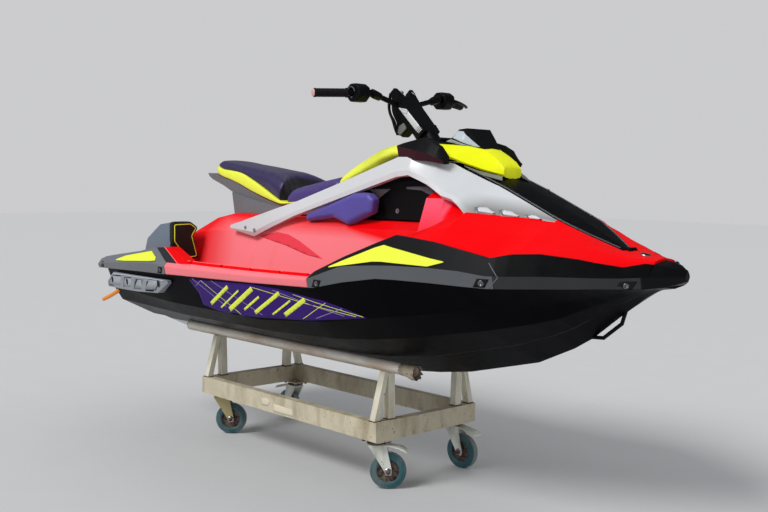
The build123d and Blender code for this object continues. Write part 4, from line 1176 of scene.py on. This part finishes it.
def make_post_parts():
    # The folded boot at the post's foot, the cable cover with its cables, the latch and the screws
    loops = []
    for number, along in enumerate(range(-8, 30, 4)):
        wide, low, high = (50, -39, 27) if number % 2 else (47, -36, 24)
        shape = rounded([(-wide, low), (wide, low), (wide, high), (-wide, high)], 12.0)
        loops.append([on_post(along, d, y) for y, d in shape])
    rings("post_boot", loops, "rubber", smooth_on=False, **STEER)
    cover = [
        (236, -30, -44, -40, 24), (214, -34, -62, -44, 20), (176, -38, -76, -46, 10), (136, -40, -82, -46, 2),
        (104, -38, -96, -47, 0), (78, -38, -102, -47, 2), (62, -40, -96, -44, 0),
    ]
    loops = []
    for along, high, low, right, left in cover:
        shape = rounded([(right, low), (left, low), (left, high), (right, high)], 9.0)
        loops.append([on_post(along, d, y) for y, d in shape])
    soften(rings("cable_cover", loops, "black", smooth_on=False, **STEER), 0.002)
    for number, (lift, y) in enumerate(((0, -48), (7, -36), (3, -22))):
        line = [(250 + lift, -30), (226, -66 - lift), (190, -86 - lift), (150, -90), (112, -104), (84, -106)]
        rope("cable_run_%d" % (number + 1), [on_post(a, d, y) for a, d in line], 0.0042, "rubber", **STEER)
    latch = rounded([(102, -72), (96, -44), (68, -46), (70, -92), (88, -96)], 5.0)
    loops = [[on_post(a, d, y) for a, d in latch] for y in (-46, -54)]
    soften(rings("post_latch", loops, "warm_grey", smooth_on=False, **STEER), 0.002)
    for side, end in SIDES:
        place = on_post(214, 16, side * 34)
        screw("post_screw_" + end, place, steer_ahead, 0.008, "steel", body="steering", slot="steel")


def make_dash_parts():
    # Grey plaques and a clip on the console's sides, and the gauge
    tree = surface_tree(["console", "dash"])
    panels = (
        ("panel_tri_rear_", "warm_grey", [(230, 1222), (350, 1225), (282, 1184)]),
        ("panel_tri_front_", "slate_grey", [(439, 1235), (590, 1240), (587, 1199), (522, 1222), (439, 1226)]),
    )
    for side, end in SIDES:
        for name, key, outline in panels:
            film(name + end, outline, tree, key, side, lift=1.2, thick=1.6, slot="grey")
        hit, normal = on_side(tree, 389, 1137, side)
        screw("panel_clip_" + end, hit, normal, 0.010, "grey", slot="grey")
        screw("panel_clip_eye_" + end, hit + normal * MM, normal, 0.0045, "screw_steel", slot="steel")
    base, along, up = Vector((430, 0, 1398)), Vector((0.93, 0, 0.36)), Vector((-0.36, 0, 0.93))

    def on_dash(u, v, lift):
        return (base + along * v + up * lift + Vector((0, u, 0))) * MM

    shape = rounded([(-58, 0), (58, 0), (66, 62), (-66, 62)], 10.0)
    layers = ((0, 0), (0, 14), (5, 18))
    loops = [[on_dash(u, v, lift) for u, v in inset(shape, grow)] for grow, lift in layers]
    rings("gauge_case", loops, "black", slot="black")
    loops = [[on_dash(u, v, lift) for u, v in inset(shape, 9)] for lift in (17.4, 18.6)]
    rings("gauge_glass", loops, "screen", slot="black_gloss")


def slab(name, corners, depth, key, body=CRAFT, slot=None):
    # A flat plate on any corners, with its depth along their common normal
    points = [spot(*corner) for corner in corners]
    middle = sum(points, Vector()) / len(points)
    normal = Vector()
    for a, b in zip(points, points[1:] + points[:1]):
        normal += (a - middle).cross(b - middle)
    normal.normalize()
    loops = [[p + normal * depth * MM * share for p in points] for share in (-0.5, 0.5)]
    return rings(name, loops, key, body=body, slot=slot, smooth_on=False)


def make_cowl_parts():
    # Pale facets on the visor's sides and walls under the cowl's edges
    tree = surface_tree(["hood_visor", "hood_cowl"])
    facets = (
        ("visor_facet_", "visor_grey", [(579, 1430), (588, 1458), (620, 1454), (690, 1393), (674, 1394)]),
        ("visor_base_", "base_grey", [(558, 1416), (578, 1424), (617, 1411), (668, 1395), (620, 1401)]),
    )
    wall = [(690, 147, 1319), (732, 112, 1301), (806, 58, 1280), (827, 84, 1265), (768, 126, 1284)]
    for side, end in SIDES:
        for name, key, outline in facets:
            film(
                name + end, outline, tree, key, side, lift=1.3, step=6.0, thick=0.8,
                slot="black", body="hood",
            )
        corners = [(x, side * y, z) for x, y, z in wall]
        slab("cowl_wall_" + end, corners, 3.0, "pale_panel", body="hood", slot="grey")


def make_bow_parts():
    # The round badge, the light lines along the hood's edges and the hood's stops
    place, axis = spot(1404, 0, 1018.5), (0.23, 0, 1)
    profile = [
        (0.021, -0.006), (0.021, 0.002), (0.0185, 0.0035), (0.0165, 0.0035), (0.0155, 0.0015), (0.0, 0.0022),
    ]
    turned("bow_badge", place, axis, profile, "steel", slot="steel")
    profile = [(0.0155, 0.0012), (0.0150, 0.0022), (0.0, 0.0030)]
    turned("bow_badge_face", place, axis, profile, "black", slot="black")
    edge = [
        (700, 138, 1306), (764, 124, 1280), (877, 123, 1237), (1000, 123, 1183), (1095, 123, 1141),
        (1143, 118, 1120), (1223, 84, 1082), (1318, 34, 1038),
    ]
    for side, end in SIDES:
        for number, back in enumerate((2.0, 9.0)):
            line = [spot(x, side * (y - back), z + 1.0 + back * 0.07) for x, y, z in edge]
            rope(
                "hood_edge_line_%d_%s" % (number + 1, end), line, 0.0007, "silver_dark",
                body="hood", slot="black_gloss", straight=True,
            )
        for x, y, z in ((890, 116, 1233), (1096, 112, 1141)):
            place = spot(x, side * y, z)
            name = "hood_stop_%d_%s" % (x, end)
            screw(name, place, (0.38, 0, 0.92), 0.006, "screw_steel", body="hood", slot="steel")


def make_sponson_parts():
    # Pale cells behind the fin's windows, framed cell plates with a painted shadow at their left and lower
    # edges, dark drain slots and the fin's light edge
    tree = surface_tree(["sponsons"])
    cells = [
        ([(-1350, 757), (-1222, 760), (-1272, 706), (-1396, 709)], (-1350, 737)),
        ([(-1195, 759), (-1076, 761), (-1128, 709), (-1250, 707)], (-1180, 741)),
        ([(-1060, 761), (-960, 768), (-1015, 716), (-1112, 709)], (-1009, 749)),
        ([(-936, 770), (-836, 775), (-878, 729), (-990, 719)], (-846, 760)),
    ]
    for side, end in SIDES:
        rear, front = (abs(on_side(tree, x, z, side)[0].y) / MM for x, z in ((-1392, 733), (-800, 779)))

        def wall(outline, proud):
            # An outline on the fin's slanting wall, standing proud of it
            loop = []
            for x, z in outline:
                out = rear + (front - rear) * (x + 1392) / 592 + (z - 740) * 0.10
                loop.append(spot(x, side * (out + proud), z))
            return loop

        for number, x in enumerate((-1345, -1225, -1105, -985)):
            shape = [(x - 4, 706), (x + 92, 710), (x + 108, 772), (x + 14, 768)]
            loops = [wall(shape, -13), wall(shape, -19)]
            rings("sponson_cell_%d_%s" % (number + 1, end), loops, "fin_cell", slot="grey")
        for number, (shape, (x, z)) in enumerate(cells):
            (x1, z1), (x2, z2), (x3, z3), (x4, z4) = shape
            # A painted shadow to the left of and below each cell plate
            dark = [(x1 - 7, z1 + 2), (x2, z2 + 2), (x3, z3 - 4), (x4 - 7, z4 - 4)]
            turns = [math.pi * k / 10 for k in range(20)]
            oval = [(x + 10 * math.cos(t), z + 16 * math.sin(t)) for t in turns]
            for tag, outline, key, low, high in (
                ("edge", rounded(dark, 5.0), "rubber", -1.0, 1.4),
                ("plate", rounded(shape, 5.0), "fin_cell", 0.0, 2.4),
                ("hole", oval, "rubber", 2.0, 2.9),
            ):
                loops = [wall(outline, low), wall(outline, high)]
                rings("sponson_%s_%d_%s" % (tag, number + 1, end), loops, key, slot="grey")
        line = []
        for x, z in ((-1402, 722), (-1340, 768), (-1200, 773), (-1000, 776), (-800, 778)):
            hit, normal = on_side(tree, x, z, side)
            line.append(hit + normal * 0.0006)
        rope("sponson_edge_" + end, line, 0.0022, "visor_grey", slot="grey", straight=True)


def make_stern_parts():
    # Dark panels, red gussets and traction strips on the stern bumpers, and the tie-down strap
    tree = surface_tree(["stern_bumpers"])
    strip = [(-1400, 866), (-1380, 874), (-1180, 905), (-968, 928), (-964, 920), (-1180, 897), (-1390, 860)]
    for side, end in SIDES:
        for name, shape, key, slot in (
            ("stern_panel_", [(-884, 927), (-813, 932), (-695, 858), (-790, 850)], "mat_black", "black"),
            ("stern_gusset_", [(-811, 933), (-766, 936), (-594, 864), (-693, 858)], "red", "red"),
        ):
            loops = [[spot(x, side * y, z) for x, z in rounded(shape, 5.0)] for y in (545, 539, 496)]
            soften(rings(name + end, loops, key, slot=slot, smooth_on=False), 0.003)
        # A coral line along each gusset's edge, a painted highlight
        edge = [spot(x, side * 546, z) for x, z in ((-815, 934), (-697, 860), (-592, 866))]
        rope("stern_gusset_edge_" + end, edge, 0.0018, "coral", slot="red", straight=True)
        film("stern_strip_" + end, strip, tree, "mat", side, lift=1.0, step=12.0, thick=1.2, slot="rubber")
        for number, (x, z) in enumerate(((-1330, 882), (-1262, 892), (-1120, 912), (-1040, 919))):
            shape = [(x, z - 5), (x + 34, z - 1), (x + 34, z + 5), (x, z + 1)]
            name = "stern_dash_%d_%s" % (number + 1, end)
            film(name, shape, tree, "neon", side, lift=1.8, step=20.0, slot="rubber")
    route = [
        (-1408, -452, 678), (-1432, -454, 664), (-1472, -457, 646), (-1516, -460, 628), (-1562, -463, 612),
    ]
    strap = rope("strap_end", [spot(*p) for p in route], 0.010, "orange", slot="yellow")


def make_deck_mats():
    # Traction mats on the stern deck and in the footwells, left out where the deck isn't level
    tree = surface_tree(["stern_deck", "footwell_liners"])

    def mat(name, x, long, y_in, y_out, y_last, key, lift):
        # A raised strip across the deck, if the deck under its corners is level
        outline = [(x, y_in), (x + long, y_in), (x + long, y_out), (x, y_last)]
        heights = [hit.z for hit in (under(tree, a, b) for a, b in outline) if hit is not None]
        if len(heights) < len(outline) or max(heights) - min(heights) > 12 * MM:
            return
        loops = []
        for grow, up in ((0, -0.5), (0, lift), (3, lift + 0.8)):
            hits = [under(tree, a, b) or spot(a, b, 850) for a, b in inset(outline, grow)]
            loops.append([hit + Vector((0, 0, up * MM)) for hit in hits])
        rings(name, loops, key, slot="rubber")

    for side, end in SIDES:
        for number in range(7):
            key = "mat" if number % 3 else "neon"
            name = "stern_mat_%d_%s" % (number + 1, end)
            mat(name, -1500 + number * 38, 32, side * 60, side * 330, side * 310, key, 2.4)
        for number in range(24):
            name = "well_mat_%d_%s" % (number + 1, end)
            mat(name, -800 + number * 52, 40, side * 352, side * 472, side * 472, "rubber", 3.0)


# Trolley parts: each caster's name, place in millimetres and heading in degrees
casters = [
    ("right_front", 328.0, -243.0, 46.7), ("right_rear", -830.0, -215.0, 46.7),
    ("left_front", 303.0, 250.0, 5.0), ("left_rear", -822.0, 243.0, 180.0),
]
AXLE_BACK, AXLE_HEIGHT = 50, 75


def make_caster_parts():
    # Brake pedals on three casters, axle nuts and washers, tyre lips, swivel races and plate bolts
    pedal = [
        (-8, 22, 187, 181), (34, 25, 186, 179), (66, 25, 181, 174), (92, 29, 175, 167), (112, 36, 169, 160),
        (127, 36, 160, 152),
    ]
    nut = [(0.0115, 0.0), (0.0115, 0.007), (0.0085, 0.009), (0.006, 0.009), (0.006, 0.012), (0.0, 0.012)]
    washer = [(0.015, -0.001), (0.015, 0.0015), (0.008, 0.0015)]
    lip = [(0.0455, -0.002), (0.0470, 0.0012), (0.0560, 0.0022), (0.0640, 0.0012), (0.0660, -0.002)]
    race = [(0.034, 0), (0.039, 0.003), (0.039, 0.009), (0.032, 0.015), (0.0, 0.015)]
    bolt = [(0.009, -0.002), (0.009, 0.006), (0.007, 0.007), (0.0, 0.007)]
    for name, x, y, heading in casters:
        turn = math.radians(heading)
        ahead = Vector((math.cos(turn), math.sin(turn), 0))
        aside = Vector((-math.sin(turn), math.cos(turn), 0))
        fork = "swivel_" + name

        def at(u, v, w):
            return (Vector((x, y, 0)) + ahead * u + aside * v + Vector((0, 0, w))) * MM

        if name != "right_rear":
            loops = [[at(u, -w, hi), at(u, w, hi), at(u, w, lo), at(u, -w, lo)] for u, w, hi, lo in pedal]
            soften(rings("brake_pedal_" + name, loops, "fork_paint", body=fork, slot="fork_paint"), 0.0015)
        for side, end in ((-1, "in"), (1, "out")):
            tag, place = name + "_" + end, at(AXLE_BACK, side * 28, AXLE_HEIGHT)
            axis = aside * side
            turned("axle_nut_" + tag, place, axis, nut, "rusty_hub", body=fork, slot="rusty_hub", steps=6)
            turned("axle_washer_" + tag, place, axis, washer, "steel", body=fork, slot="steel")
            turned(
                "tyre_lip_" + tag, at(AXLE_BACK, side * 17.5, AXLE_HEIGHT), axis, lip, "tyre_%d" % heading,
                body="wheel_" + name, slot="tyre", steps=48, caps=False,
            )
        turned("race_" + name, at(0, 0, 184), UP, race, "rusty_hub", body=fork, slot="rusty_hub", steps=36)
        for dx in (-42, 42):
            for dy in (-32, 32):
                tag, place = "%s_%d_%d" % (name, dx, dy), spot(x + dx, y + dy, 200)
                turned("plate_bolt_" + tag, place, (0, 0, -1), bolt, "rusty_hub", slot="rusty_hub", steps=6)


def make_trolley_parts():
    # Two bare, scuffed labels on the long beam in the photo
    tree = surface_tree(["trolley_frame"])
    labels = [
        [(-396, 246), (-380, 262), (-338, 266), (-322, 250), (-338, 232), (-380, 228)],
        [(-300, 250), (-160, 246), (-152, 214), (-292, 212)],
    ]
    for number, outline in enumerate(labels):
        film("beam_label_%d" % (number + 1), outline, tree, "label", -1, lift=0.4, slot="cream")
    # Weld beads at the feet of the legs, torn sleeves on the tubes' front ends and end plugs
    for x in (340, -860):
        for side in (-1, 1):
            for number, (y, wide) in enumerate(((281, 30), (198, 36))):
                low, high = side * (y - wide / 2), side * (y + wide / 2)
                foot = ((x - 1, low), (x - 1, high), (x + 33, high), (x + 33, low))
                bead = [spot(a, b, 288) for a, b in foot]
                name = "weld_%d_%d_%d" % (abs(x), number, side > 0)
                rope(name, bead, 0.0032, "rusty_hub", cyclic=True, straight=True, slot="cream")
    tube, height = 218, 507.25
    rows = ((446, 1.2), (470, 2.4), (486, 4.2), (505, 3.4), (518, 5.0), (532, 2.0))
    plug = [(0.0204, -0.02), (0.0204, 0.0), (0.0235, 0.0005), (0.0235, 0.003), (0.020, 0.005), (0.0, 0.005)]
    for side, end in SIDES:
        loops = []
        for number, (x, grow) in enumerate(rows):
            loop = []
            for step in range(30):
                turn = 2 * math.pi * step / 30
                wave = 1.6 * math.sin(step * 1.9 + number * 2.1) + 1.1 * math.sin(step * 3.7 + number)
                sag = max(0.0, -math.sin(turn)) * (number > 2) * 7
                radius = min(24 + grow + wave * (0.4 + 0.2 * number) + sag, 38)
                y, z = side * tube + radius * math.cos(turn), min(height + radius * math.sin(turn), 531)
                loop.append(spot(x + wave * 2, y, z))
            loops.append(loop)
        rings("tube_sleeve_" + end, loops, "sleeve", caps=False, slot="worn_steel")
        place = spot(-1100, side * tube, height)
        turned("tube_plug_" + end, place, (-1, 0, 0), plug, "rubber", slot="rubber")


# Scene
def make_stage():
    # A plain floor and background, three suns and a soft sky
    floor_paint = plastic("floor", (0.60, 0.60, 0.60), 0.85, vary=0.02)
    bpy.ops.mesh.primitive_plane_add(size=60, location=(0, 0, 0))
    floor = bpy.context.active_object
    floor.name = "floor"
    floor.data.materials.append(floor_paint.material)

    def lamp(name, way, power, spread):
        data = bpy.data.lights.new(name, "SUN")
        data.energy = power
        data.angle = math.radians(spread)
        thing = bpy.data.objects.new(name, data)
        thing.rotation_mode = "QUATERNION"
        thing.rotation_quaternion = Vector(way).to_track_quat("-Z", "Y")
        thing.visible_glossy = name == "key"
        scene.collection.objects.link(thing)

    lamp("key", (0.08, 0.71, -0.70), 2.1, 24)
    lamp("fill", (-0.80, 0.35, -0.30), 0.45, 120)
    lamp("port_fill", (0.30, -0.85, -0.40), 0.75, 120)
    world = bpy.data.worlds.new("world")
    scene.world = world
    world.use_nodes = True
    tree = world.node_tree
    tree.nodes.clear()

    def glow(color, power):
        node = tree.nodes.new("ShaderNodeBackground")
        node.inputs[0].default_value = (*color, 1)
        node.inputs[1].default_value = power
        return node.outputs[0]

    def pick(ray, plain, special):
        # One glow for rays of a kind and another for the rest
        node = tree.nodes.new("ShaderNodeMixShader")
        for number, output in enumerate((rays[ray], plain, special)):
            tree.links.new(output, node.inputs[number])
        return node.outputs[0]

    rays = tree.nodes.new("ShaderNodeLightPath").outputs
    light, shine = glow((0.82, 0.86, 0.92), 0.42), glow((0.82, 0.86, 0.92), 0.16)
    soft = pick("Is Glossy Ray", light, shine)
    shown = pick("Is Camera Ray", soft, glow((0.60, 0.60, 0.61), 1.0))
    tree.links.new(shown, tree.nodes.new("ShaderNodeOutputWorld").inputs[0])
    scene.view_settings.view_transform = "Standard"


make_camera()
make_paints()
# Each CAD node's paint and the width of its rounded edges in millimetres
finish_table = {
    # The side decks and rails take coral, painted sunlight on their red
    "hull": ("hull_black", 3.0), "stern_deck": ("red", 4.0), "side_decks": ("coral", 2.0),
    "footwell_liners": ("red", 3.0), "pedestal": ("pedestal", 5.0), "bow_deck": ("bow_red", 3.0),
    "stern_bumpers": ("bumper", 4.0), "gunwale_rails": ("coral", 4.0), "side_fairings": ("fairing", 4.0),
    "bow_bumper": ("bow_black", 4.0), "fairing_inserts": ("neon", 1.0), "stern_inserts": ("neon", 1.0),
    "side_arches": ("silver", 3.0), "console": ("black", 6.0), "dash": ("black", 6.0),
    "seat_base": ("tray", 5.0), "heel_chocks": ("chock", 6.0), "mirrors": ("mirror", 5.0),
    "sponsons": ("fin", 2.0), "tow_eyes": ("black", 0.5), "engine": ("cast", 6.0),
    "ride_plate": ("aluminium", 1.0), "intake_grate": ("aluminium", 1.0), "pump_housing": ("aluminium", 0),
    "steering_nozzle": ("aluminium", 0), "reverse_bucket": ("aluminium", 1.0), "impeller": ("steel", 0),
    "drive_shaft": ("steel", 0), "hood": ("black_gloss", 3.0), "hood_cowl": ("neon_bright", 5.0),
    "hood_visor": ("black", 6.0), "hood_hinge": ("black", 0), "steering_post": ("black", 4.0),
    "handlebar": ("black", 0), "handlebar_grips": ("rubber", 0), "switch_pods": ("black", 7.0),
    "trolley_frame": ("cream", 2.0), "trolley_legs": ("cream_light", 1.5), "bunk_tubes": ("tube_steel", 0),
    "knee_pads": ("purple", 2.0), "heel_pads": ("foam", 2.0), "seat_cushion": ("purple", 2.0),
    "seat_skirt": ("neon_soft", 2.0), "tank_cover": ("neon_soft", 2.0),
}
# Edges flatter than this angle in degrees stay sharp; a few nodes have finer facets that have to stay
edge_angles = {"hood_cowl": 62.0, "bow_deck": 28.0, "pedestal": 28.0}
for name, x, y, heading in casters:
    finish_table["caster_fork_" + name] = ("zinc" if name == "right_rear" else "fork_paint", 1.0)
    finish_table["caster_tyre_" + name] = ("tyre_%d" % heading, 0)
    finish_table["caster_hub_" + name] = ("rusty_hub", 0.8)
for name, (key, width) in finish_table.items():
    use(name, key)
    polish(name, width * MM, edge_angles.get(name, 14.0))
make_seat()
make_bolster()
make_side_panel()
make_tank_cover()
make_pads()
make_screws()
make_rail_ribs()
make_flank_parts()
make_hull_film()
make_arch_parts()
make_post_sides()
make_grips()
make_post_parts()
make_dash_parts()
make_cowl_parts()
make_bow_parts()
make_sponson_parts()
make_stern_parts()
make_deck_mats()
make_caster_parts()
make_trolley_parts()
make_stage()
